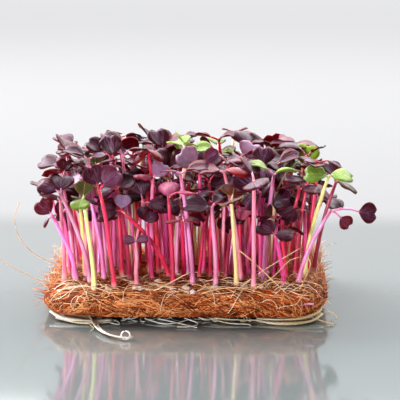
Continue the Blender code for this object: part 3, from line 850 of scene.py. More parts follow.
def leaf_axes(leaf: Leaf) -> tuple[Array, Array, Array]:
    """The way the leaf points, the way across it and the way its upper face looks.

    Args:
        leaf: The leaf.

    Returns:
        Three directions of length 1.
    """
    yaw, lift, roll = (math.radians(a) for a in (leaf.yaw, leaf.lift, leaf.roll))
    along = np.array((math.cos(yaw) * math.cos(lift), math.sin(yaw) * math.cos(lift), math.sin(lift)))
    level = np.array((-math.sin(yaw), math.cos(yaw), 0))
    across = level * math.cos(roll) + np.cross(along, level) * math.sin(roll)
    return along, across, np.cross(along, across)


@dataclass(frozen=True)
class BladeForm:
    """The blade of a seed leaf: narrow at its stalk, broad above and notched at its tip."""

    length: float = 9.2
    width: float = 11.0
    stalk_half_width: float = 0.6
    notch: float = 0.17
    arch: float = 0.16
    fold: float = 0.20
    broadest: float = 0.56
    tip_width: float = 0.52
    rows: tuple[tuple[float, float], ...] = ((0.42, 1.0), (1.0, 0.6))

    def solid_points(self, sprout: Sprout, leaf: Leaf, shares: Array, sides: Array) -> Array:
        """Points of a blade as its solid has it.

        Args:
            sprout: The seedling that carries the leaf.
            leaf: The leaf.
            shares: Shares from the stalk at 0 to the tip at 1.
            sides: Sides from -1 to 1.

        Returns:
            Rows of places in the row frame, for every share with every side.
        """
        along, across, face = leaf_axes(leaf)
        share, side = (grid.reshape(-1, 1) for grid in np.meshgrid(shares, sides, indexing="ij"))
        rows = ((0.0, 2 * self.stalk_half_width / self.width), *self.rows)
        widths = np.interp(share, [row[0] for row in rows], [row[1] for row in rows])
        half_width = widths * self.width / 2 * leaf.size
        length = self.length * leaf.size * share * (1 - self.notch * (1 - abs(side)) * share**3)
        rise = self.fold * abs(side) * half_width - self.arch * self.length * leaf.size * share**2
        place = np.array(sprout.head) + along * (leaf.stalk + length) + across * side * half_width
        return place + face * rise

    def fine_points(self, sprout: Sprout, leaf: Leaf, share: Array, side: Array, curl: Array) -> Array:
        """Points of a blade with rounded lobes, a waved edge and a curl; a domed one hangs over all round.

        Args:
            sprout: The seedling that carries the leaf.
            leaf: The leaf.
            share: Column of shares from the stalk at 0 to the tip at 1.
            side: Column of sides from -1 to 1.
            curl: Four draws from -1 to 1, for the fold, the arch, the wave and the twist.

        Returns:
            Rows of places in the row frame.
        """
        along, across, face = leaf_axes(leaf)
        dome = leaf.dome or 0.0
        rising = 0.11 + 0.89 * np.sin(np.minimum(share / self.broadest, 1) * math.pi / 2) ** 0.8
        falling = np.sqrt(np.clip(1 - (np.maximum(share - self.broadest, 0) / 0.55) ** 2, 0, 1))
        half_width = rising * np.maximum(falling, self.tip_width) * self.width / 2 * leaf.size
        spread = abs(side)
        notch = 0.85 * self.notch * max(0.15, 1 - 0.7 * dome)
        tip = 1 - notch * (1 - spread) ** 1.4 * share**3 - 0.10 * spread**6 * share**2
        length = self.length * leaf.size * share * tip * (1 - 0.12 * dome)
        fold = self.fold * (1 + 0.9 * curl[0] - 3.2 * dome) * spread ** (1.3 + 0.7 * dome)
        arch = self.arch * (1 + 0.8 * curl[1] + 1.9 * dome) * share**2 * self.length * leaf.size
        wave = 0.10 * curl[2] * np.sin(8 * share + 3 * side) * spread**2 * self.width * leaf.size / 2
        twist = 0.22 * curl[3] * side * share * half_width
        rise = fold * half_width - arch + wave + twist
        place = np.array(sprout.head) + along * (leaf.stalk + length) + across * side * half_width
        return place + face * rise


def deselect() -> None:
    """Leaves nothing selected, so that an operator acts only on what is chosen next."""
    bpy.ops.object.select_all(action="DESELECT")


def apply_all(piece: Piece) -> None:
    """Applies every modifier of a piece, in order."""
    deselect()
    bpy.context.view_layer.objects.active = piece
    piece.select_set(True)
    for modifier in list(piece.modifiers):
        bpy.ops.object.modifier_apply(modifier=modifier.name)


def joined(copies: list[Piece], name: str) -> Piece:
    """Joins the copies into one piece and names it.

    Args:
        copies: The parts, each with its own mesh.
        name: The piece's name.

    Returns:
        The joined piece.
    """
    deselect()
    for copy in copies:
        copy.select_set(True)
    bpy.context.view_layer.objects.active = copies[0]
    bpy.ops.object.join()
    piece = bpy.context.view_layer.objects.active
    piece.name = name
    piece.data.name = name
    return piece


def places_of(mesh: bpy.types.Mesh) -> Array:
    """The mesh's vertices as rows of x, y and z."""
    found = np.empty(len(mesh.vertices) * 3, np.float32)
    mesh.vertices.foreach_get("co", found)
    return found.reshape(-1, 3).astype(float)


@dataclass
class Pattern:
    """A small shape that is modelled once and then copied, each copy with its own mesh, place and tint."""

    model: Piece

    @property
    def points(self) -> Array:
        """The vertices of the model."""
        return places_of(self.model.data)

    def copy(self, places: Array, tint: Sequence[float] | None = None) -> Piece:
        """A copy of the model with its vertices at these places.

        Args:
            places: Rows of x, y and z in millimetres, one for each vertex of the model.
            tint: The copy's own linear colour, or None where the finish needs none.

        Returns:
            The copy, ready to be joined.
        """
        copy = self.model.copy()
        copy.data = self.model.data.copy()
        bpy.context.scene.collection.objects.link(copy)
        copy.data.vertices.foreach_set("co", (places * MM).astype(np.float32).ravel())
        if tint is not None:
            colour = copy.data.attributes.new("tint", "FLOAT_COLOR", "POINT")
            colour.data.foreach_set("color", np.tile(np.array(tint, np.float32), len(places)))
        return copy

    def discard(self) -> None:
        """Removes the model once its copies are made."""
        bpy.data.objects.remove(self.model)


class Rod(Pattern):
    """A straight rod of unit radius and length along +Z, which its copies bend along a path."""

    def __init__(self, sides: int, cells: int, name: str = "rod") -> None:
        """Models the rod.

        Args:
            sides: How many sides it has.
            cells: How many cells it has along its length.
            name: The model's name.
        """
        deselect()
        bpy.ops.mesh.primitive_cylinder_add(vertices=sides, radius=1, depth=1, location=(0, 0, 0.5))
        rod = bpy.context.object
        rod.name = name
        bpy.ops.object.transform_apply(location=True, rotation=False, scale=False)
        bpy.ops.object.mode_set(mode="EDIT")
        bpy.ops.mesh.select_mode(type="EDGE")
        bpy.ops.mesh.select_all(action="DESELECT")
        bpy.ops.object.mode_set(mode="OBJECT")
        for edge in rod.data.edges:
            low, high = (rod.data.vertices[i].co.z for i in edge.vertices)
            edge.select = abs(high - low) > 0.5
        bpy.ops.object.mode_set(mode="EDIT")
        bpy.ops.mesh.subdivide(number_cuts=cells - 1)
        bpy.ops.object.mode_set(mode="OBJECT")
        bpy.ops.object.shade_smooth()
        share = rod.data.attributes.new("share", "FLOAT", "POINT")
        share.data.foreach_set("value", places_of(rod.data)[:, 2].astype(np.float32))
        super().__init__(rod)

    def bent(
        self, path: Array, radii: Array, tint: Sequence[float] | None = None, flat: float = 1.0
    ) -> Piece:
        """A copy of the rod, bent along a path.

        Args:
            path: Rows of places along the path, at equal shares of the rod.
            radii: The radius at each of them.
            tint: The copy's own colour.
            flat: How wide the section is beside its height, where 1 is round.

        Returns:
            The bent copy.
        """
        points = self.points
        shares = np.linspace(0, 1, len(path))
        centre = np.column_stack([np.interp(points[:, 2], shares, path[:, axis]) for axis in range(3)])
        radius = np.interp(points[:, 2], shares, radii)[:, None]
        course = np.gradient(path, axis=0)
        course /= np.linalg.norm(course, axis=1)[:, None] + 1e-9
        tangent = np.column_stack([np.interp(points[:, 2], shares, course[:, axis]) for axis in range(3)])
        mean = course.mean(0)
        guide = np.eye(3)[np.abs(mean).argmin()]
        across = np.cross(tangent, guide)
        across /= np.linalg.norm(across, axis=1)[:, None] + 1e-9
        beside = np.cross(tangent, across)
        return self.copy(centre + radius * (across * points[:, :1] * flat + beside * points[:, 1:2]), tint)


class Finish:
    """A material with one Principled shader and the nodes that feed it."""

    def __init__(self, name: str, **constants: float | Colour) -> None:
        """Starts the material.

        Args:
            name: The material's name.
            constants: Values of the shader's own sockets, their names written with underscores.
        """
        self.material = bpy.data.materials.new(name)
        self.material.use_nodes = True
        self.tree = self.material.node_tree
        self.shader = self.tree.nodes["Principled BSDF"]
        for socket, value in constants.items():
            self.shader.inputs[socket.replace("_", " ")].default_value = value

    def node(
        self, kind: str, inputs: dict[str | int, object] | None = None, **settings: object
    ) -> bpy.types.Node:
        """Adds a node with its settings, and with input values or links from other nodes' sockets."""
        return add_node(self.tree, kind, inputs, **settings)

    def feed(self, **links: Socket) -> None:
        """Links sockets of other nodes to the shader's inputs."""
        for socket, source in links.items():
            self.tree.links.new(source, self.shader.inputs[socket.replace("_", " ")])

    def where(self) -> Socket:
        """The place on the piece, in metres."""
        return self.node("ShaderNodeTexCoord").outputs["Object"]

    def piece_draw(self) -> Socket:
        """A random value from 0 to 1 of each loose piece's own."""
        return self.node("ShaderNodeNewGeometry").outputs["Random Per Island"]

    def attribute(self, name: str) -> bpy.types.Node:
        """The node that reads a named attribute of the piece."""
        return self.node("ShaderNodeAttribute", attribute_name=name)

    def mix(
        self,
        factor: Socket | float,
        first: Socket | Colour,
        second: Socket | Colour,
        blend: str = "MIX",
    ) -> Socket:
        """The colour that two colours mix to.

        Args:
            factor: The share of the second colour.
            first: The first colour.
            second: The second colour.
            blend: The way that they mix.

        Returns:
            The socket with the outcome.
        """
        node = self.node("ShaderNodeMix", data_type="RGBA", blend_type=blend)
        for index, value in ((0, factor), (6, first), (7, second)):
            plug(self.tree, node.inputs[index], value)
        return node.outputs[2]

    def curve(self, value: Socket, stops: Sequence[tuple[float, float]]) -> Socket:
        """A value sent through straight stretches between stops of place and value.

        Args:
            value: The value.
            stops: Places from 0 to 1 and the values that they send out.

        Returns:
            The socket with the outcome.
        """
        node = self.node("ShaderNodeValToRGB", {"Fac": value})
        set_stops(node.color_ramp, [(place, (level, level, level, 1.0)) for place, level in stops])
        return node.outputs["Color"]

    def colours(self, value: Socket, stops: Sequence[tuple[float, tuple]]) -> Socket:
        """A value turned into a colour between stops of place and colour.

        Args:
            value: The value.
            stops: Places from 0 to 1 and their colours.

        Returns:
            The socket with the colour.
        """
        node = self.node("ShaderNodeValToRGB", {"Fac": value})
        set_stops(node.color_ramp, stops)
        return node.outputs["Color"]

    def noise(self, where: Socket, scale: float, detail: float = 2.0) -> Socket:
        """Smooth random values round one half, over the places that it is given.

        Args:
            where: The places.
            scale: How many spots there are along a metre.
            detail: How many finer layers it has.

        Returns:
            The socket with the values.
        """
        node = self.node("ShaderNodeTexNoise", {"Vector": where, "Scale": scale, "Detail": detail})
        return node.outputs["Fac"]

    def bump(self, height: Socket, strength: float, distance: float) -> Socket:
        """The normals of a surface with this relief, whose distance is in metres.

        Args:
            height: The relief.
            strength: How much of it shows.
            distance: How high it is at a height of 1.

        Returns:
            The socket with the normals.
        """
        node = self.node("ShaderNodeBump", {"Height": height, "Strength": strength, "Distance": distance})
        return node.outputs["Normal"]

    def maths(self, operation: str, *values: Socket | float) -> Socket:
        """The outcome of one sum.

        Args:
            operation: The name of the sum.
            values: What goes into it.

        Returns:
            The socket with the outcome.
        """
        node = self.node("ShaderNodeMath", operation=operation)
        for socket, value in zip(node.inputs, values):
            plug(self.tree, socket, value)
        return node.outputs[0]


def plug(tree: bpy.types.NodeTree, socket: Socket, value: object) -> None:
    """Links another node's socket to this one, or sets this one's value."""
    if isinstance(value, Socket):
        tree.links.new(value, socket)
    else:
        socket.default_value = value


def add_node(
    tree: bpy.types.NodeTree, kind: str, inputs: dict[str | int, object] | None = None, **settings: object
) -> bpy.types.Node:
    """Adds a node to a tree, with its settings and its inputs.

    Args:
        tree: The tree.
        kind: The node's type.
        inputs: Values or sockets for its inputs.
        settings: Values of its own properties.

    Returns:
        The node.
    """
    node = tree.nodes.new(kind)
    for name, value in settings.items():
        setattr(node, name, value)
    for name, value in (inputs or {}).items():
        plug(tree, node.inputs[name], value)
    return node


def set_stops(colour_ramp: bpy.types.ColorRamp, stops: Sequence[tuple[float, tuple]]) -> None:
    """Gives a colour ramp these stops."""
    elements = colour_ramp.elements
    while len(elements) > 1:
        elements.remove(elements[-1])
    elements[0].position, elements[0].color = stops[0]
    for place, colour in stops[1:]:
        elements.new(place).color = colour


def mottle_group() -> bpy.types.NodeTree:
    """The uneven colour of things that grew: lighter and darker patches, and a height for their relief."""
    tree = bpy.data.node_groups.new("grown_mottle", "ShaderNodeTree")
    face = tree.interface
    face.new_socket("Colour", in_out="INPUT", socket_type="NodeSocketColor")
    face.new_socket("Amount", in_out="INPUT", socket_type="NodeSocketFloat")
    face.new_socket("Stretch", in_out="INPUT", socket_type="NodeSocketVector")
    face.new_socket("Colour", in_out="OUTPUT", socket_type="NodeSocketColor")
    face.new_socket("Height", in_out="OUTPUT", socket_type="NodeSocketFloat")
    given = tree.nodes.new("NodeGroupInput")
    where = tree.nodes.new("ShaderNodeTexCoord")
    scaled = add_node(
        tree,
        "ShaderNodeVectorMath",
        {0: where.outputs["Object"], 1: given.outputs["Stretch"]},
        operation="MULTIPLY",
    )
    patches = add_node(
        tree, "ShaderNodeTexNoise", {"Vector": scaled.outputs[0], "Scale": 1.0, "Detail": 4.0}
    )
    light = add_node(
        tree, "ShaderNodeMapRange", {"Value": patches.outputs["Fac"], "From Min": 0.3, "From Max": 0.7}
    )
    centred = add_node(tree, "ShaderNodeMath", {0: light.outputs[0], 1: -0.5}, operation="ADD")
    sized = add_node(
        tree, "ShaderNodeMath", {0: centred.outputs[0], 1: given.outputs["Amount"]}, operation="MULTIPLY"
    )
    value = add_node(tree, "ShaderNodeMath", {0: sized.outputs[0], 1: 1.0}, operation="ADD")
    shaded = add_node(
        tree, "ShaderNodeHueSaturation", {"Color": given.outputs["Colour"], "Value": value.outputs[0]}
    )
    out = tree.nodes.new("NodeGroupOutput")
    tree.links.new(shaded.outputs["Color"], out.inputs["Colour"])
    tree.links.new(patches.outputs["Fac"], out.inputs["Height"])
    return tree


MOTTLE = mottle_group()


def mottled(finish: Finish, colour: Socket | Colour, amount: float, stretch: Place) -> bpy.types.Node:
    """Places the uneven colour in a finish.

    Args:
        finish: The finish.
        colour: The colour that the patches lighten and darken.
        amount: How much they do so.
        stretch: How fine the patches are along each axis.

    Returns:
        The node, with the outputs Colour and Height.
    """
    node = finish.node("ShaderNodeGroup", node_tree=MOTTLE)
    plug(finish.tree, node.inputs["Colour"], colour)
    node.inputs["Amount"].default_value = amount
    node.inputs["Stretch"].default_value = stretch
    return node


@dataclass(frozen=True)
class StemFinish:
    """Moist living stem: its own tint, darkened to crimson low down and under the leaves as the tint's
    alpha allows, partly the stem's own deeper red and partly painted shade, with a pale foot and fine
    streaks.
    """

    # Crimson that the stems darken to: their own deeper red and painted shade under the leaves
    shade_crimson: Colour = srgb(160, 8, 40)
    foot: Colour = srgb(246, 204, 200)

    def material(self) -> Material:
        """Makes the material."""
        finish = Finish(
            "living_stem",
            Roughness=0.34,
            Subsurface_Weight=0.45,
            Subsurface_Radius=(0.0022, 0.0012, 0.0014),
            Subsurface_Scale=1.0,
            Coat_Weight=0.5,
            Coat_Roughness=0.15,
        )
        tint = finish.attribute("tint").outputs["Color"]
        share = finish.attribute("share").outputs["Fac"]
        streaks = mottled(finish, tint, 0.35, (900.0, 900.0, 60.0))
        # Painted shade in part: the crimson is strongest just above the foot and under the leaves at the
        # top, where the stems are also a darker red of their own
        depth = finish.curve(share, ((0.16, 0.1), (0.25, 0.42), (0.5, 0.04), (0.8, 0.08), (1.0, 0.6)))
        red = finish.attribute("tint").outputs["Alpha"]
        shade_darkened = finish.mix(finish.maths("MULTIPLY", depth, red), streaks.outputs["Colour"], self.shade_crimson)
        pale = finish.mix(finish.curve(share, ((0.12, 0.6), (0.17, 0.0))), shade_darkened, self.foot)
        finish.feed(Base_Color=pale, Normal=finish.bump(streaks.outputs["Height"], 0.2, 0.0002))
        return finish.material


@dataclass(frozen=True)
class LeafFinish:
    """A face of a seed leaf: its own tint, pale midrib and veins, a dark rim, a painted lilac sheen in
    streaks along its middle, and the shader's sheen.
    """

    name: str
    vein: Colour
    rim: Colour
    vein_share: float
    roughness: float
    sheen: float
    wash: Colour = (1.0, 1.0, 1.0, 1.0)
    # How much painted sheen, a pale lilac that stands in for the room's reflection, streaks the middle of
    # the face, and its colour
    painted_sheen: float = 0.0
    painted_sheen_colour: Colour = srgb(150, 116, 156)

    def material(self) -> Material:
        """Makes the material."""
        finish = Finish(
            self.name,
            Roughness=self.roughness,
            Subsurface_Weight=0.35,
            Subsurface_Radius=(0.0016, 0.0004, 0.0004),
            Subsurface_Scale=1.0,
            Specular_IOR_Level=0.1,
            Coat_Weight=0.05,
            Coat_Roughness=0.2,
            Sheen_Weight=self.sheen,
            Sheen_Roughness=0.5,
            Sheen_Tint=srgb(232, 176, 214),
        )
        tint = finish.attribute("tint").outputs["Color"]
        washed = finish.mix(1.0, tint, self.wash, "MULTIPLY")
        patches = mottled(finish, washed, 0.55, (420.0, 420.0, 420.0))
        spot = finish.node("ShaderNodeSeparateXYZ", {0: finish.node("ShaderNodeUVMap").outputs["UV"]})
        across = finish.maths("SUBTRACT", spot.outputs["X"], 0.5)
        side = finish.maths("ABSOLUTE", across)
        midrib = finish.curve(side, ((0.0, 1.0), (0.035, 0.0)))
        rising = finish.maths("SUBTRACT", spot.outputs["Y"], finish.maths("MULTIPLY", side, 0.9))
        beat = finish.maths("PINGPONG", finish.maths("MULTIPLY", rising, 5.0), 0.5)
        veins = finish.curve(beat, ((0.0, 0.7), (0.09, 0.0)))
        drawn = finish.maths("MULTIPLY", finish.maths("MAXIMUM", midrib, veins), self.vein_share)
        own = finish.maths("MULTIPLY", finish.piece_draw(), 60.0)
        fan = finish.maths("DIVIDE", across, finish.maths("ADD", spot.outputs["Y"], 0.3))
        fanned = finish.maths("MULTIPLY", fan, 13.0)
        rays = finish.node("ShaderNodeCombineXYZ", {"X": fanned, "Y": spot.outputs["Y"], "Z": own})
        cloudy = finish.curve(finish.noise(finish.where(), 190.0), ((0.42, 0.0), (0.62, 1.0)))
        streaky = finish.curve(finish.noise(rays.outputs["Vector"], 2.0), ((0.46, 0.0), (0.62, 1.0)))
        # Painted sheen: pale lilac mixed into the colour in clouded streaks that fan out from the stalk
        # along the middle
        middle = finish.maths("MULTIPLY", finish.curve(side, ((0.1, 1.0), (0.42, 0.0))), self.painted_sheen)
        sheen_share = finish.maths("MULTIPLY", middle, finish.maths("MULTIPLY_ADD", cloudy, streaky, streaky))
        sheen_painted = finish.mix(sheen_share, patches.outputs["Colour"], self.painted_sheen_colour)
        lined = finish.mix(drawn, sheen_painted, self.vein)
        edge = finish.curve(side, ((0.42, 0.0), (0.5, 0.55)))
        rimmed = finish.mix(edge, lined, self.rim)
        height = finish.maths("SUBTRACT", patches.outputs["Height"], drawn)
        finish.feed(Base_Color=rimmed, Normal=finish.bump(height, 0.35, 0.0003))
        return finish.material


@dataclass(frozen=True)
class FibreFinish:
    """Dry plant fibre: each strand has its own colour between the dark and the pale one, with patches."""

    name: str
    dark: Colour
    middle: Colour
    pale: Colour
    roughness: float = 0.62

    def material(self) -> Material:
        """Makes the material."""
        finish = Finish(self.name, Roughness=self.roughness, Specular_IOR_Level=0.22)
        stops = ((0.0, self.dark), (0.45, self.middle), (1.0, self.pale))
        colour = finish.colours(finish.piece_draw(), stops)
        patches = mottled(finish, colour, 0.5, (260.0, 260.0, 260.0))
        relief = finish.bump(finish.noise(finish.where(), 4000.0), 0.3, 0.0001)
        finish.feed(Base_Color=patches.outputs["Colour"], Normal=relief)
        return finish.material


@dataclass(frozen=True)
class BedFinish:
    """The dense middle of the mat: dark and orange brown streaks over a matching relief, darkest in the low
    streaks, which is the fibres' own dark brown and painted shade in the pits.
    """

    dark: Colour = srgb(84, 30, 10)
    bright: Colour = srgb(200, 98, 38)

    def material(self) -> Material:
        """Makes the material."""
        finish = Finish("coir_bed", Roughness=0.85)
        along = {"Vector": finish.where(), "Scale": (420.0, 1500.0, 1500.0)}
        streaks = finish.noise(finish.node("ShaderNodeMapping", along).outputs[0], 1.0, 6.0)
        # Painted shade in part: the low streaks of the relief get the dark brown, so the pits read darker
        colour = finish.colours(streaks, ((0.36, self.dark), (0.62, self.bright)))
        patches = mottled(finish, colour, 0.5, (180.0, 180.0, 180.0))
        finish.feed(Base_Color=patches.outputs["Colour"], Normal=finish.bump(streaks, 0.9, 0.001))
        return finish.material


@dataclass(frozen=True)
class RootFinish:
    """Matted white root, a little translucent, with cream and grey patches."""

    name: str = "white_root"
    clean: Colour = srgb(236, 232, 222)
    stained: Colour = srgb(184, 162, 122)

    def material(self) -> Material:
        """Makes the material."""
        finish = Finish(
            self.name,
            Roughness=0.42,
            Subsurface_Weight=0.25,
            Subsurface_Radius=(0.001, 0.0008, 0.0006),
            Subsurface_Scale=1.0,
        )
        patches = finish.curve(finish.noise(finish.where(), 60.0, 3.0), ((0.42, 0.0), (0.66, 0.8)))
        spot = finish.node("ShaderNodeSeparateXYZ", {0: finish.where()})
        reach = {"Value": spot.outputs["X"], "From Min": 0.02, "From Max": 0.05}
        older = finish.node("ShaderNodeMapRange", reach).outputs[0]
        stain = finish.maths("MAXIMUM", patches, older)
        streaks = mottled(finish, finish.mix(stain, self.clean, self.stained), 0.3, (900.0, 900.0, 900.0))
        relief = finish.bump(streaks.outputs["Height"], 0.5, 0.0004)
        finish.feed(Base_Color=streaks.outputs["Colour"], Normal=relief)
        return finish.material


@dataclass(frozen=True)
class SkinFinish:
    """Thin papery skin of one colour with soft patches."""

    name: str
    colour: Colour
    roughness: float = 0.45

    def material(self) -> Material:
        """Makes the material."""
        finish = Finish(self.name, Roughness=self.roughness, Subsurface_Weight=0.2)
        patches = mottled(finish, self.colour, 0.45, (500.0, 500.0, 500.0))
        relief = finish.bump(patches.outputs["Height"], 0.4, 0.0003)
        finish.feed(Base_Color=patches.outputs["Colour"], Normal=relief)
        return finish.material


def dress(piece: Piece, slot: str, *materials: Material, nodes: Iterable[str] = ()) -> None:
    """Gives a piece its finish and ties it to the frame.

    Args:
        piece: The finished piece.
        slot: The record's material slot that it belongs to. It is not used.
        materials: Its materials, in the order of its slots.
        nodes: The solids that it stands for.
    """
    if not piece.data.materials:
        for material in materials:
            piece.data.materials.append(material)
    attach(piece, "root")
    if nodes:
        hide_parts(*nodes)
    LOG.info("%s: %d faces", piece.name, len(piece.data.polygons))


@dataclass
class Seedlings:
    """All the stems and seed leaves of one kind of seedling."""

    name: str
    kind: str
    sprouts: list[Sprout]
    upper: Material
    under: Material
    stem: Material
    sowing: Sowing
    rooted: float = 4.0
    neck: float = 0.78
    foot_flare: float = 0.3
    domed_share: float = 0.38
    blade_thickness: float = 0.42
    blade: BladeForm = field(default_factory=BladeForm)

    def nodes(self) -> list[str]:
        """The solids of this kind."""
        parts = frame["record"]["subparts"]
        return [part["node"] for part in parts if part["material_slot"] == self.kind]

    def stem_path(self, sprout: Sprout, rng: np.random.Generator) -> Array:
        """The centre line of a stem from inside the mat to its tip, with a slight sway.

        Args:
            sprout: The seedling.
            rng: The source of its draws.

        Returns:
            Rows of places in the row frame.
        """
        share = np.linspace(0, 1, 9)
        line = self.sowing.stem_points(sprout, share)
        wave = np.sin(share * rng.uniform(3, 7) + rng.uniform(0, 6))
        sway = (share * (1 - share) * 4)[:, None] * wave[:, None]
        turn = rng.uniform(0, 2 * math.pi)
        line = line + sway * (math.cos(turn), math.sin(turn), 0) * rng.uniform(0.1, 0.45)
        root = line[0] - (0, 0, COLLAR + self.rooted)
        return np.vstack([root, line])

    def stems(self, rng: np.random.Generator) -> Piece:
        """Every stem, with the two short stalks that carry its leaves.

        Args:
            rng: The source of its draws.

        Returns:
            One piece with all of them.
        """
        stem_rod, stalk_rod = Rod(8, 8, "stem_rod"), Rod(6, 3, "stalk_rod")
        copies = []
        for sprout in self.sprouts:
            path = self.stem_path(sprout, rng)
            share = np.linspace(0, 1, len(path))
            radii = sprout.girth * (1.08 - (1.08 - self.neck) * share)
            radii[1] *= 1.0 + self.foot_flare
            radii[-1] *= 0.8
            tint = np.array(sprout.stem_look.value[:3]) * rng.uniform(0.82, 1.12, 3)
            # The alpha lets the crimson and the painted shade darken only the red stems, not the lime and
            # buff ones
            crimson_and_shade = 0.0 if sprout.stem_look in (StemLook.LIME, StemLook.BUFF) else 1.0
            copies.append(stem_rod.bent(path, radii, (*tint, crimson_and_shade)))
            for leaf in sprout.leaves:
                along = leaf_axes(leaf)[0]
                head = path[-1] - (path[-1] - path[-2]) * 0.12
                end = np.array(sprout.head) + along * (leaf.stalk + 0.10 * self.blade.length * leaf.size)
                rise = np.array((0, 0, 0.22 * leaf.stalk))
                t = np.linspace(0, 1, 5)[:, None]
                middle = (head + end) / 2 + rise
                stalk = head * (1 - t) ** 2 + middle * 2 * t * (1 - t) + end * t**2
                radii = np.linspace(0.62, 0.34, 5) * sprout.girth
                copies.append(stalk_rod.bent(stalk, radii, (*tint * 0.7, crimson_and_shade)))
        stem_rod.discard()
        stalk_rod.discard()
        return joined(copies, f"{self.name}_stems")

    def blade_pattern(self) -> Pattern:
        """A flat sheet of cells, which each leaf's copy curls into a blade."""
        deselect()
        bpy.ops.mesh.primitive_grid_add(x_subdivisions=6, y_subdivisions=6, size=2)
        sheet = bpy.context.object
        bpy.ops.object.shade_smooth()
        return Pattern(sheet)

    def leaves(self, rng: np.random.Generator) -> Piece:
        """Every seed leaf, curled on its own way and given its thickness.

        Args:
            rng: The source of its draws.

        Returns:
            One piece with all of them.
        """
        pattern = self.blade_pattern()
        flat = pattern.points
        side, share = -flat[:, :1], (flat[:, 1:2] + 1) / 2
        copies = []
        for sprout in self.sprouts:
            for leaf in sprout.leaves:
                if leaf.dome is None and rng.random() < self.domed_share:
                    leaf = replace(leaf, dome=rng.uniform(0.4, 1.0))
                curl = rng.uniform(-1, 1, 4)
                shade = rng.uniform(0.7, 1.3) * rng.uniform(0.9, 1.1, 3)
                tint = (*(np.array((leaf.look or sprout.leaf_look).value[:3]) * shade), 1.0)
                copies.append(pattern.copy(self.blade.fine_points(sprout, leaf, share, side, curl), tint))
        pattern.discard()
        piece = joined(copies, f"{self.name}_leaves")
        wall = piece.modifiers.new("Thickness", "SOLIDIFY")
        wall.thickness = self.blade_thickness * MM
        wall.offset = 0
        wall.material_offset = 1
        wall.material_offset_rim = 1
        piece.data.materials.append(self.upper)
        piece.data.materials.append(self.under)
        apply_all(piece)
        return piece

    def build(self, seed: int) -> None:
        """Makes and dresses both pieces."""
        rng = np.random.default_rng(seed)
        stems = self.stems(rng)
        dress(stems, self.kind, self.stem, nodes=self.nodes())
        leaves = self.leaves(rng)
        dress(leaves, self.kind, self.upper, self.under, nodes=self.nodes())


def waved(rng: np.random.Generator, length: float, count: int, bend: float) -> Array:
    """The path of one loose fibre near the origin: along +X, wandering to the sides and up.

    Args:
        rng: The source of its draws.
        length: How long it is.
        count: How many points it has.
        bend: How far it wanders, as a share of its length.

    Returns:
        Rows of x, y and z.
    """
    t = np.linspace(-0.5, 0.5, count)
    curve = rng.uniform(-1, 1, 3) * bend * length
    phase = rng.uniform(0, 6, 2)
    y = curve[0] * 4 * t**2 + 0.4 * curve[1] * np.sin(5 * t + phase[0])
    z = 0.25 * abs(curve[2]) * np.sin(4 * t + phase[1])
    return np.column_stack([t * length, y, z])


def turned(path: Array, angle: float) -> Array:
    """A path turned about +Z.

    Args:
        path: Rows of x, y and z.
        angle: By how much, in radians.

    Returns:
        The turned rows.
    """
    c, s = math.cos(angle), math.sin(angle)
    x, y = path[:, 0].copy(), path[:, 1].copy()
    return np.column_stack([c * x - s * y, s * x + c * y, path[:, 2]])


def smooth(route: Sequence[Sequence[float]], count: int) -> Array:
    """Points evenly spread along a smooth curve through a route's own points.

    Args:
        route: The points that the curve goes through.
        count: How many points are wanted.

    Returns:
        Rows of x, y and z.
    """
    points = np.array(route, float)
    ends = np.vstack([2 * points[0] - points[1], points, 2 * points[-1] - points[-2]])
    found = []
    for share in np.linspace(0, len(points) - 1, count):
        i = min(int(share), len(points) - 2)
        t = share - i
        a, b, c, d = ends[i : i + 4]
        square = 2 * a - 5 * b + 4 * c - d
        cube = 3 * b - a - 3 * c + d
        found.append(0.5 * (2 * b + (c - a) * t + square * t**2 + cube * t**3))
    return np.array(found)


# The long fibres, as the solid ones run
LONG_FIBRES = {
    "long_fibre_low": (
        (-50, -33, 15.6),
        (-59, -34, 15.4),
        (-68, -34.5, 17.5),
        (-78, -34, 22.5),
        (-87, -33, 28),
    ),
    "long_fibre_high": (
        (-52, 4, 15.6),
        (-62, 2, 15.8),
        (-72, -2, 21),
        (-79, -6, 30),
        (-81, -9, 40),
        (-78, -12, 49),
    ),
}

# Straws that cross each other at the front of the top
STRAWS = (
    ((24, -42, 15), (30, -38, 19), (38, -35, 24), (52, -32, 32)),
    ((24, -34, 32), (32, -37, 26), (40, -41, 19), (46, -44, 14)),
    ((31, -42, 15), (40, -38, 20), (47, -36, 27), (52, -36, 29)),
    ((-14, -43, 14.5), (-8, -41, 17), (-2, -39, 20), (3, -37, 22)),
    ((8, -45, 14), (16, -44, 16), (26, -44, 16.5), (36, -45, 14)),
    ((-58, -40, 13.5), (-50, -40, 15.5), (-42, -42, 16), (-33, -45, 14)),
    ((52, -40, 15), (55, -36, 20), (57, -34, 25), (56, -33, 28)),
)


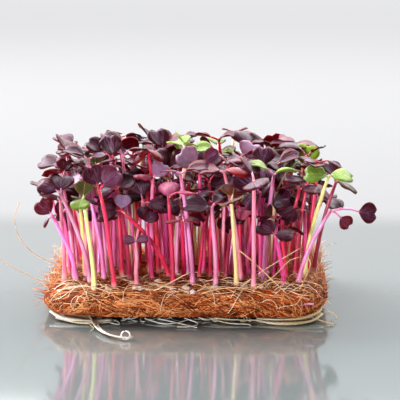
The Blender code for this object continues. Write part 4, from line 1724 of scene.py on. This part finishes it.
@dataclass
class GrowingMat:
    """The coconut-fibre mat: its dense bed, its loose fibres, its frayed rim and the pale straws on top."""

    bed: Material
    fibre: Material
    straw: Material
    down: Material
    tuft_kinds: int = 4
    tuft_fibres: int = 46
    tufts: int = 110
    rim_tufts: int = 100
    frizz: int = 460
    fluff: int = 1100
    straws: int = 70
    arches: int = 190

    def make_bed(self) -> Piece:
        """The dense middle, a little inside the solid one's shape."""
        deselect()
        bpy.ops.mesh.primitive_cube_add(size=2)
        bed = bpy.context.object
        bed.name = bed.data.name = "coir_bed"
        bpy.ops.object.mode_set(mode="EDIT")
        bpy.ops.mesh.select_all(action="SELECT")
        bpy.ops.mesh.subdivide(number_cuts=31)
        bpy.ops.object.mode_set(mode="OBJECT")
        for vertex in bed.data.vertices:
            u, v, w = vertex.co
            x, y, z = MAT.point(u * 0.985, v * 0.98, w)
            lump = noise.noise(Vector((x, y, z)) * 0.35) + 0.6 * noise.noise(Vector((x, y, z)) * 1.1)
            vertex.co = Vector((x, y, z + (0.55 * lump - 0.35) * w)) * MM
        bpy.ops.object.shade_smooth()
        return bed

    def tuft(self, number: int) -> Pattern:
        """A patch of fibres that lie every way, mostly along the mat.

        Args:
            number: Which patch it is, for its draws.

        Returns:
            The pattern that the covers copy.
        """
        rng = np.random.default_rng(SEEDS["tufts"] + number)
        rod = Rod(3, 5, "fibre_rod")
        copies = []
        for _ in range(self.tuft_fibres):
            path = turned(waved(rng, rng.uniform(11, 32), 6, 0.14), rng.normal(0, 0.34))
            path[:, :2] += rng.normal(0, 4.5, 2)
            path[:, 2] += rng.uniform(0.0, 1.2) ** 2 + 0.05
            copies.append(rod.bent(path, np.full(6, rng.uniform(0.09, 0.27))))
        rod.discard()
        return Pattern(joined(copies, f"tuft_{number}"))

    def cover(self, name: str, seed: int, spots: Iterable[Place]) -> Piece:
        """Lays tufts over the mat.

        Args:
            name: The piece's name.
            seed: Where the draws of the tufts start.
            spots: The x and y of each tuft and the angle that it is turned by.

        Returns:
            One piece with all the fibres.
        """
        patterns = [self.tuft(seed + number) for number in range(self.tuft_kinds)]
        copies = []
        for number, (x, y, angle) in enumerate(spots):
            pattern = patterns[number % self.tuft_kinds]
            placed = turned(pattern.points / MM, angle) + (x, y, 0)
            copies.append(pattern.copy(MAT.drape(placed)))
        for pattern in patterns:
            pattern.discard()
        return joined(copies, name)

    def make_top_fibres(self) -> Piece:
        """The loose fibres that cover the top."""
        rng = np.random.default_rng(SEEDS["top_fibres"])
        reach = np.array((MAT_WIDTH / 2 - 4, MAT_DEPTH / 2 - 4))
        spots = rng.uniform(-1, 1, (self.tufts, 2)) * reach
        turns = rng.uniform(-0.6, 0.6, self.tufts) + math.pi * rng.integers(0, 2, self.tufts)
        return self.cover("coir_top_fibres", 0, [(*spot, turn) for spot, turn in zip(spots, turns)])

    def make_rim_fibres(self) -> Piece:
        """The loose fibres that hang down over the sides, and run along them."""
        rng = np.random.default_rng(SEEDS["rim_fibres"])
        spots = []
        for around in np.linspace(0, 2 * math.pi, self.rim_tufts, endpoint=False):
            u, v = math.cos(around), math.sin(around)
            reach = max(abs(u), abs(v))
            x, y = np.array((u * MAT_WIDTH, v * MAT_DEPTH)) / 2 / reach
            along_side = abs(v) < abs(u)
            out = rng.uniform(-1, 8)
            x, y = (x + math.copysign(out, x), y) if along_side else (x, y + math.copysign(out, y))
            spots.append((x, y, (math.pi / 2 if along_side else 0.0) + rng.uniform(-0.35, 0.35)))
        return self.cover("coir_rim_fibres", 10, spots)

    def make_frizz(self) -> Piece:
        """Short curled fibres that stand out of the rim and up from the top."""
        rng = np.random.default_rng(SEEDS["frizz"])
        rod = Rod(3, 5, "frizz_rod")
        copies = []
        for number in range(self.frizz):
            turn = rng.uniform(0, 2 * math.pi)
            at_rim = number % 5 < 3
            u, v = math.cos(turn), math.sin(turn)
            if at_rim:
                reach = max(abs(u), abs(v))
                start = np.array(MAT.point(u / reach, v / reach, rng.uniform(-0.9, 0.9)))
                out = np.array((u, v, rng.uniform(-0.25, 0.6)))
                length = rng.uniform(1.5, 5.5) * (1 + 0.9 * ramp(-u, 0.5, 1))
            else:
                x, y = rng.uniform(-1, 1, 2) * (MAT_WIDTH / 2 - 5, MAT_DEPTH / 2 - 5)
                start = np.array((x, y, MAT.top(x, y)))
                out = np.array((u, v * 0.5, rng.uniform(0.1, 0.55)))
                length = rng.uniform(4, 12)
            out /= np.linalg.norm(out)
            side = np.cross(out, (0, 0, 1))
            t = np.linspace(0, 1, 6)[:, None]
            path = start - out * 2 + out * t * (length + 2)
            path = path + side * t**2 * rng.uniform(-5, 5) + np.array((0, 0, 1)) * t**2 * rng.uniform(-3, 2)
            path[:, 2] = np.maximum(path[:, 2], 0.6)
            copies.append(rod.bent(path, np.linspace(rng.uniform(0.09, 0.16), 0.06, 6)))
        rod.discard()
        return joined(copies, "coir_frizz")

    def make_fluff(self) -> Piece:
        """The combed-up fibres that stand in a low bank along both ends of the mat, highest at the back."""
        rng = np.random.default_rng(SEEDS["fluff"])
        rod = Rod(3, 6, "fluff_rod")
        copies = []
        t = np.linspace(0, 1, 7)[:, None]
        for number in range(self.fluff):
            side = -1 if number % 2 else 1
            y = rng.uniform(-24, 44)
            x = side * (MAT_WIDTH / 2 - rng.uniform(-1, 11))
            height = rng.uniform(5, 15) * (0.5 + 0.5 * ramp(y, -24, 20))
            lean = np.array((side * rng.uniform(-5, 2.5), rng.uniform(-8, 8), height))
            swing = np.array((*rng.uniform(-5, 5, 2), -0.4 * height))
            curl = rng.uniform(3, 8) * t + rng.uniform(0, 6)
            wobble = np.hstack([np.sin(curl), np.cos(curl), 0.6 * np.sin(curl)]) * rng.uniform(0.4, 1.6)
            start = np.array((x, y, MAT.top(x * 0.97, y) - 1.5))
            path = start + lean * t + swing * t**2 + wobble * t
            copies.append(rod.bent(path, np.linspace(rng.uniform(0.13, 0.26), 0.09, 7)))
        rod.discard()
        return joined(copies, "coir_fluff")

    def make_straws(self) -> Piece:
        """Long pale straws on the top: some cross in front, some lie flat and many arch up."""
        rng = np.random.default_rng(SEEDS["straws"])
        rod = Rod(4, 7, "straw_rod")
        copies = [rod.bent(smooth(route, 8), np.linspace(0.3, 0.18, 8)) for route in STRAWS]
        for _ in range(self.straws):
            path = turned(waved(rng, rng.uniform(16, 42), 8, 0.14), rng.normal(0, 0.5))
            path[:, :2] += rng.uniform(-1, 1, 2) * (MAT_WIDTH / 2 - 12, MAT_DEPTH / 2 - 2)
            inside = MAT.drape(path)
            inside[:, 2] += 0.5 + np.abs(path[:, 2]) + rng.uniform(0, 2.2) * np.linspace(0, 1, 8) ** 2
            copies.append(rod.bent(inside, np.linspace(rng.uniform(0.13, 0.22), 0.1, 8)))
        t = np.linspace(-0.5, 0.5, 8)
        for number in range(self.arches):
            length, height = rng.uniform(7, 22), rng.uniform(0.6, 4.2)
            curve = np.column_stack([t * length, 4 * t**2 * rng.uniform(-6, 6), height * (1 - 4 * t**2)])
            path = turned(curve, rng.normal(0, 0.6))
            front = number % 3 > 0
            spot = (rng.uniform(-57, 57), rng.uniform(-47, -28) if front else rng.uniform(-28, 40))
            path[:, :2] += spot
            copies.append(rod.bent(MAT.drape(path), np.linspace(rng.uniform(0.11, 0.21), 0.1, 8)))
        rod.discard()
        return joined(copies, "pale_straws")

    def make_long_fibres(self) -> Piece:
        """The two long fibres at the left that reach out over the table."""
        rod = Rod(5, 14, "long_rod")
        radii = np.linspace(0.27, 0.15, 15)
        copies = [rod.bent(smooth(route, 15), radii) for route in LONG_FIBRES.values()]
        rod.discard()
        return joined(copies, "long_fibres")

    def build(self) -> None:
        """Makes and dresses the mat's pieces."""
        dress(self.make_bed(), "coir", self.bed, nodes=["coir_mat"])
        dress(self.make_top_fibres(), "coir", self.fibre, nodes=["coir_mat"])
        dress(self.make_rim_fibres(), "coir", self.fibre, nodes=["coir_mat"])
        dress(self.make_fluff(), "coir", self.down, nodes=["coir_mat"])
        dress(self.make_frizz(), "coir", self.fibre, nodes=["coir_mat"])
        dress(self.make_straws(), "coir", self.straw, nodes=["coir_mat"])
        dress(self.make_long_fibres(), "coir", self.down, nodes=list(LONG_FIBRES))


# The thick bundle of roots in front of the mat at its left end, as the solid one runs, ending in a loop
FRONT_ROOT = (
    (-43, -36, 1.2),
    (-41, -46, 1.15),
    (-38.8, -56, 1.1),
    (-34.5, -65.5, 1.1),
    (-28.5, -71.5, 1.1),
    (-23.5, -73, 1.1),
    (-22, -70.5, 1.1),
)

# Flat folded roots that show under the front edge: their routes and half widths
RIBBONS = (
    (((-61, -38, 3.4), (-55, -43.5, 1.8), (-47, -45.5, 1.4), (-39, -46, 1.0), (-33, -44, 0.9)), 1.7),
    (((-58, -41, 1.3), (-50, -46.5, 0.8), (-41, -48, 0.8), (-33, -46, 0.8)), 1.2),
    (((8, -41, 2.4), (16, -43.5, 2.0), (26, -44.5, 1.7), (36, -43, 1.2)), 0.7),
    (((34, -44, 1.3), (40, -46.5, 0.9), (50, -47, 1.0), (58, -44, 1.6), (62, -38, 3.0)), 1.5),
    (((36, -43, 1.8), (43, -44.5, 2.0), (52, -44.5, 2.6), (60, -41, 4.2), (62.5, -35, 6.0)), 1.3),
    (((34, -44, 1.3), (33, -42.5, 1.7), (36, -43, 1.8)), 1.1),
)

# Thin roots that curl out from under the front edge
CURLS = (
    ((-36, -42, 1.2), (-33, -48, 0.8), (-29, -50, 0.8), (-30, -46, 0.9), (-34, -43, 1.4)),
    ((-18, -42, 1.3), (-10, -48, 0.7), (-4, -47, 0.7), (2, -43, 1.2)),
    ((0, -42, 1.6), (6, -47, 0.8), (4, -52, 0.6), (-3, -53, 0.6)),
    ((-12, -43, 1.5), (-6, -45, 0.9), (0, -49, 0.6), (6, -54, 0.6)),
    ((12, -42, 1.5), (20, -47, 0.8), (28, -48, 0.7), (30, -50, 0.6)),
    ((57, -40, 2.0), (63, -44, 1.0), (67, -47, 0.6), (64, -50, 0.6)),
    ((60, -34, 5.0), (66, -37, 4.0), (69, -40, 1.6), (66, -43, 0.6)),
    ((-42, -38, 1.0), (-43, -48, 0.8), (-40, -56, 0.7), (-41, -60, 0.6)),
)


@dataclass
class Roots:
    """The matted roots: a thin layer under the mat, flat folded ribbons at its front, and loose curls."""

    root: Material
    width: float = 120.0
    depth: float = 87.0
    top: float = 2.2
    recess: float = 30.0
    strands: int = 130

    def make_layer(self) -> Piece:
        """The thin ragged layer, flat underneath and rippled on top."""
        deselect()
        bpy.ops.mesh.primitive_cube_add(size=2)
        layer = bpy.context.object
        layer.name = layer.data.name = "root_layer"
        bpy.ops.object.mode_set(mode="EDIT")
        bpy.ops.mesh.select_all(action="SELECT")
        bpy.ops.mesh.subdivide(number_cuts=23)
        bpy.ops.object.mode_set(mode="OBJECT")
        for vertex in layer.data.vertices:
            u, v, w = vertex.co
            x, y = MAT.plan(u, v, self.width - 5 - 3 * w, self.depth - 5 - 3 * w)
            ripple = noise.noise(Vector((x, y, 3)) * 0.16) + 0.5 * noise.noise(Vector((x, y, 9)) * 0.6)
            edge = 1 + 0.02 * noise.noise(Vector((x, y, 0)) * 0.25)
            height = self.top * (w + 1) / 2 * (0.82 + 0.3 * ripple * (w + 1) / 2)
            recess = self.recess * ramp(x, -38, -31) * ramp(-x, -36, -29) * ramp(-y, 0, self.depth / 2)
            vertex.co = Vector((x * edge, y * edge + recess, height)) * MM
        bpy.ops.object.shade_smooth()
        return layer

    def make_ribbons(self) -> Piece:
        """The folded ribbons and the thick bundle, which ends in a loop."""
        rod = Rod(8, 12, "ribbon_rod")
        copies = []
        for route, half_width in RIBBONS:
            path = smooth(route, 13)
            swell = 1 + 0.25 * np.sin(np.linspace(0, 9, 13) + half_width * 7)
            copies.append(rod.bent(path, half_width * 0.42 * swell, flat=1.9))
        bundle = smooth(FRONT_ROOT, 13)
        for step in range(7):
            shift = np.array((0.7 * math.cos(2.1 * step), 0.7 * math.sin(2.1 * step), 0.2 * (step % 3)))
            fan = np.linspace(2.4 if step % 2 else 1.6, 0.6, 13)[:, None]
            copies.append(rod.bent(bundle + shift * fan, np.linspace(0.36, 0.24, 13)))
        turn = np.linspace(0, 2 * math.pi, 13)
        ring = np.column_stack([1.9 * np.cos(turn), 1.0 * np.sin(turn), 1.6 * np.sin(turn)])
        loop = ring + (-24.6, -72.6, 2.3)
        copies.append(rod.bent(loop, np.full(13, 0.34), flat=1.3))
        rod.discard()
        return joined(copies, "root_ribbons")

    def make_strands(self) -> Piece:
        """Fine roots that run out from under the mat all round and curl on the table."""
        rng = np.random.default_rng(SEEDS["strands"])
        rod = Rod(4, 8, "strand_rod")
        copies = [rod.bent(smooth(route, 9), np.linspace(0.34, 0.2, 9)) for route in CURLS]
        for _ in range(self.strands):
            turn = rng.uniform(0, 2 * math.pi)
            u, v = math.cos(turn), math.sin(turn)
            reach = max(abs(u), abs(v))
            x, y = MAT.plan(u / reach, v / reach, self.width - 8, self.depth - 8)
            out = np.array((u, v, 0)) / math.hypot(u, v)
            side = np.array((-out[1], out[0], 0)) * rng.choice((-1, 1))
            stretch, hook, curl = rng.uniform(4, 10), rng.uniform(1, 5), rng.uniform(1.6, 3.6)
            t = np.linspace(0, 1, 9)[:, None]
            high = rng.uniform(0.5, 3.4)
            path = np.array((x, y, 0)) - out * 4
            path = path + out * stretch * np.sin(curl * t) + side * hook * (1 - np.cos(curl * t))
            path[:, 2] = 0.4 + (high - 0.4) * (1 - t[:, 0]) ** 2
            copies.append(rod.bent(path, np.full(9, rng.uniform(0.12, 0.3))))
        rod.discard()
        return joined(copies, "root_strands")

    def build(self) -> None:
        """Makes and dresses the roots."""
        dress(self.make_layer(), "root", self.root, nodes=["root_mat"])
        dress(self.make_ribbons(), "root", self.root, nodes=["root_mat"])
        dress(self.make_strands(), "root", self.root, nodes=["root_mat"])


# Bulb-like feet and hulls that show among the fibres: where they lie and their radius
BULBS = (
    (-12.7, -29, 1.8),
    (-20.0, -40, 1.5),
    (-5.4, -41, 1.5),
    (0.8, -40, 1.7),
    (3.6, -43.5, 1.4),
    (13.5, -39, 1.5),
    (27.5, -36, 1.5),
    (-34.5, -41, 1.3),
    (34.5, -38, 1.4),
)


@dataclass
class SeedHulls:
    """Split seed coats and bulb-like stem feet among the fibres, and a fallen scrap of pink skin."""

    hull: Material
    scrap: Material
    hulls: int = 26

    def make_hulls(self) -> Piece:
        """Small dented pale balls, half sunk in the fibres."""
        rng = np.random.default_rng(SEEDS["hulls"])
        deselect()
        bpy.ops.mesh.primitive_uv_sphere_add(segments=8, ring_count=6, radius=1)
        bpy.ops.object.shade_smooth()
        pattern = Pattern(bpy.context.object)
        ball = pattern.points
        copies = []
        spots = list(BULBS)
        spots += [(*(rng.uniform(-1, 1, 2) * (58, 42)), rng.uniform(0.7, 1.2)) for _ in range(self.hulls)]
        for x, y, radius in spots:
            dents = 1 + 0.18 * np.sin(3 * ball[:, :1] + rng.uniform(0, 6)) * np.cos(2 * ball[:, 1:2])
            shape = ball * dents * radius * (1.25, 0.9, 0.8)
            spot = (x, y, MAT.top(x, y) + 0.9 * radius + 0.4)
            copies.append(pattern.copy(turned(shape, rng.uniform(0, 6)) + spot))
        pattern.discard()
        return joined(copies, "seed_hulls")

    def make_scrap(self) -> Piece:
        """A curled scrap of pink skin on the mat's front edge at the right."""
        deselect()
        bpy.ops.mesh.primitive_grid_add(x_subdivisions=12, y_subdivisions=4, size=2)
        scrap = bpy.context.object
        scrap.name = scrap.data.name = "pink_scrap"
        for vertex in scrap.data.vertices:
            x, y, _ = vertex.co
            taper = 1 - 0.55 * abs(x) ** 3
            height = 9.2 + 0.4 * math.sin(3 * x) + 0.7 * y * y
            place = (54.0 + 4.2 * x, -45.2 - 1.0 * x * x + 0.9 * y * taper, height)
            vertex.co = Vector(place) * MM
        wall = scrap.modifiers.new("Thickness", "SOLIDIFY")
        wall.thickness = 0.35 * MM
        apply_all(scrap)
        bpy.ops.object.shade_smooth()
        return scrap

    def build(self) -> None:
        """Makes and dresses the hulls and the scrap."""
        dress(self.make_hulls(), "root", self.hull)
        dress(self.make_scrap(), PURPLE_KIND, self.scrap)


@dataclass(frozen=True)
class Lamp:
    """A square soft lamp: its place and its side in metres, its power in watts and its colour."""

    name: str
    place: Place
    side: float
    power: float
    colour: Place = (1.0, 1.0, 1.0)

    def hang(self, aim: Vector) -> None:
        """Adds the lamp to the scene, pointed at the aim."""
        light = bpy.data.lights.new(self.name, "AREA")
        light.size = self.side
        light.energy = self.power
        light.color = self.colour
        lamp = bpy.data.objects.new(self.name, light)
        lamp.location = self.place
        lamp.rotation_euler = (aim - Vector(self.place)).to_track_quat("-Z", "Y").to_euler()
        bpy.context.scene.collection.objects.link(lamp)


@dataclass(frozen=True)
class Studio:
    """A glossy pale table in a white room, soft lamps and the camera at the photograph's angle."""

    camera_place: Place = (24.73, -742.08, 196.80)
    camera_yaw: float = -0.0253
    camera_pitch: float = 0.1980
    lens: float = 144.0
    sensor: float = 36.0
    clip: float = 0.01
    table_reach: float = 6.0
    near: float = -0.05
    edge: float = 0.155
    far: float = 0.21
    table_grey: Colour = srgb(108, 117, 117)
    table_far: Colour = srgb(106, 109, 109)
    wall_grey: Colour = srgb(96, 96, 97)
    glow: Colour = srgb(136, 136, 137)
    dim_light: float = 0.13
    wall_light: float = 0.70
    ceiling_light: float = 0.16
    lamps: tuple[Lamp, ...] = (
        Lamp("window", (-0.70, 0.55, 0.75), 0.80, 37.0),
        Lamp("back_window", (0.10, 0.85, 0.80), 0.90, 16.0),
        Lamp("side_window", (0.80, 0.55, 0.75), 0.80, 15.0),
        Lamp("front_fill", (-0.45, -1.05, 0.11), 0.20, 12.0),
    )

    def table(self) -> None:
        """The table: grey and glossy round the object, and fading into the white of the room."""
        deselect()
        bpy.ops.mesh.primitive_plane_add(size=2 * self.table_reach)
        table = bpy.context.object
        table.name = "table"
        finish = Finish("glossy_table", Roughness=0.07, IOR=2.2, Emission_Strength=1.0)
        spot = finish.node("ShaderNodeSeparateXYZ", {0: finish.where()})
        reach = finish.node(
            "ShaderNodeMapRange", {"Value": spot.outputs["Y"], "From Min": self.near, "From Max": self.edge}
        )
        fade = finish.node(
            "ShaderNodeMapRange",
            {"Value": spot.outputs["Y"], "From Min": self.edge, "From Max": self.far},
            interpolation_type="SMOOTHSTEP",
        )
        top = finish.mix(reach.outputs[0], self.table_grey, self.table_far)
        finish.feed(
            Base_Color=finish.mix(fade.outputs[0], top, self.wall_grey),
            Emission_Color=finish.mix(fade.outputs[0], (0.0, 0.0, 0.0, 1.0), self.glow),
        )
        table.data.materials.append(finish.material)

    def room(self) -> None:
        """The pale room, bright overhead and behind the table and dim in front of it, and its lamps."""
        world = bpy.data.worlds.new("pale_room")
        bpy.context.scene.world = world
        world.use_nodes = True
        tree = world.node_tree
        where = add_node(tree, "ShaderNodeTexCoord")
        way = add_node(tree, "ShaderNodeSeparateXYZ", {0: where.outputs["Generated"]})
        parts = (("Y", -0.1, 0.7, self.wall_light), ("Z", 0.2, 1.0, self.ceiling_light))
        light = None
        for axis, low, high, share in parts:
            part = add_node(
                tree,
                "ShaderNodeMapRange",
                {"Value": way.outputs[axis], "From Min": low, "From Max": high, "To Max": share},
                interpolation_type="SMOOTHSTEP",
            )
            before = light.outputs[0] if light else self.dim_light
            light = add_node(tree, "ShaderNodeMath", {0: part.outputs[0], 1: before}, operation="ADD")
        tree.links.new(light.outputs[0], tree.nodes["Background"].inputs["Strength"])
        tree.nodes["Background"].inputs["Color"].default_value = srgb(252, 252, 255)
        for lamp in self.lamps:
            lamp.hang(Vector((0.0, 0.0, 0.04)))
        bpy.context.scene.view_settings.view_transform = "Standard"

    def camera(self) -> None:
        """The camera at the photograph's angle."""
        data = bpy.data.cameras.new("camera")
        data.lens = self.lens
        data.sensor_width = self.sensor
        data.sensor_fit = "HORIZONTAL"
        data.clip_start = self.clip
        camera = bpy.data.objects.new("camera", data)
        camera.location = Vector(self.camera_place) * MM
        camera.rotation_euler = (math.pi / 2 - self.camera_pitch, 0, -self.camera_yaw)
        bpy.context.scene.collection.objects.link(camera)
        bpy.context.scene.camera = camera

    def build(self) -> None:
        """Sets up the table, the room and the camera."""
        self.table()
        self.room()
        self.camera()


def main() -> None:
    """Builds every piece and reports it."""
    logging.basicConfig(level=logging.INFO, format="%(message)s")
    Studio().build()
    sowing = Sowing()
    standing = sowing.sow()[:]
    standing += sowing.fill()
    standing = [placed for number, placed in enumerate(standing, 1) if number not in THINNED_OUT]
    LOG.info("seedlings: %d", len(standing))
    stem = StemFinish().material()
    # The purple upper faces carry the painted lilac sheen
    purple = LeafFinish("purple_leaf", srgb(140, 76, 104), srgb(84, 10, 22), 0.15, 0.38, 0.05, painted_sheen=0.26)
    wine = LeafFinish(
        "wine_underside", srgb(176, 64, 90), srgb(104, 10, 24), 0.2, 0.5, 0.0, (1.5, 0.6, 0.65, 1.0)
    )
    green = LeafFinish("green_leaf", srgb(176, 196, 96), srgb(106, 124, 34), 0.35, 0.42, 0.1)
    lime = LeafFinish("lime_underside", srgb(190, 204, 112), srgb(120, 140, 40), 0.35, 0.5, 0.05)
    groups = (
        ("red", PURPLE_KIND, purple.material(), wine.material()),
        ("green", GREEN_KIND, green.material(), lime.material()),
    )
    for order, (name, kind, upper, under) in enumerate(groups):
        chosen = [sprout for sprout in standing if sprout.kind == kind]
        Seedlings(name, kind, chosen, upper, under, stem, sowing).build(SEEDS["seedlings"] + order)
    fibre = FibreFinish("coir_fibre", srgb(92, 26, 4), srgb(200, 88, 28), srgb(246, 178, 116))
    straw = FibreFinish("pale_straw", srgb(248, 190, 130), srgb(255, 218, 170), srgb(255, 238, 212))
    down = FibreFinish("fluffed_fibre", srgb(176, 98, 46), srgb(220, 152, 96), srgb(246, 212, 176))
    GrowingMat(BedFinish().material(), fibre.material(), straw.material(), down.material()).build()
    Roots(RootFinish().material()).build()
    hull = SkinFinish("seed_hull", srgb(244, 206, 190)).material()
    scrap = SkinFinish("pink_skin", srgb(214, 128, 160)).material()
    SeedHulls(hull, scrap).build()


if __name__ == "__main__":
    main()
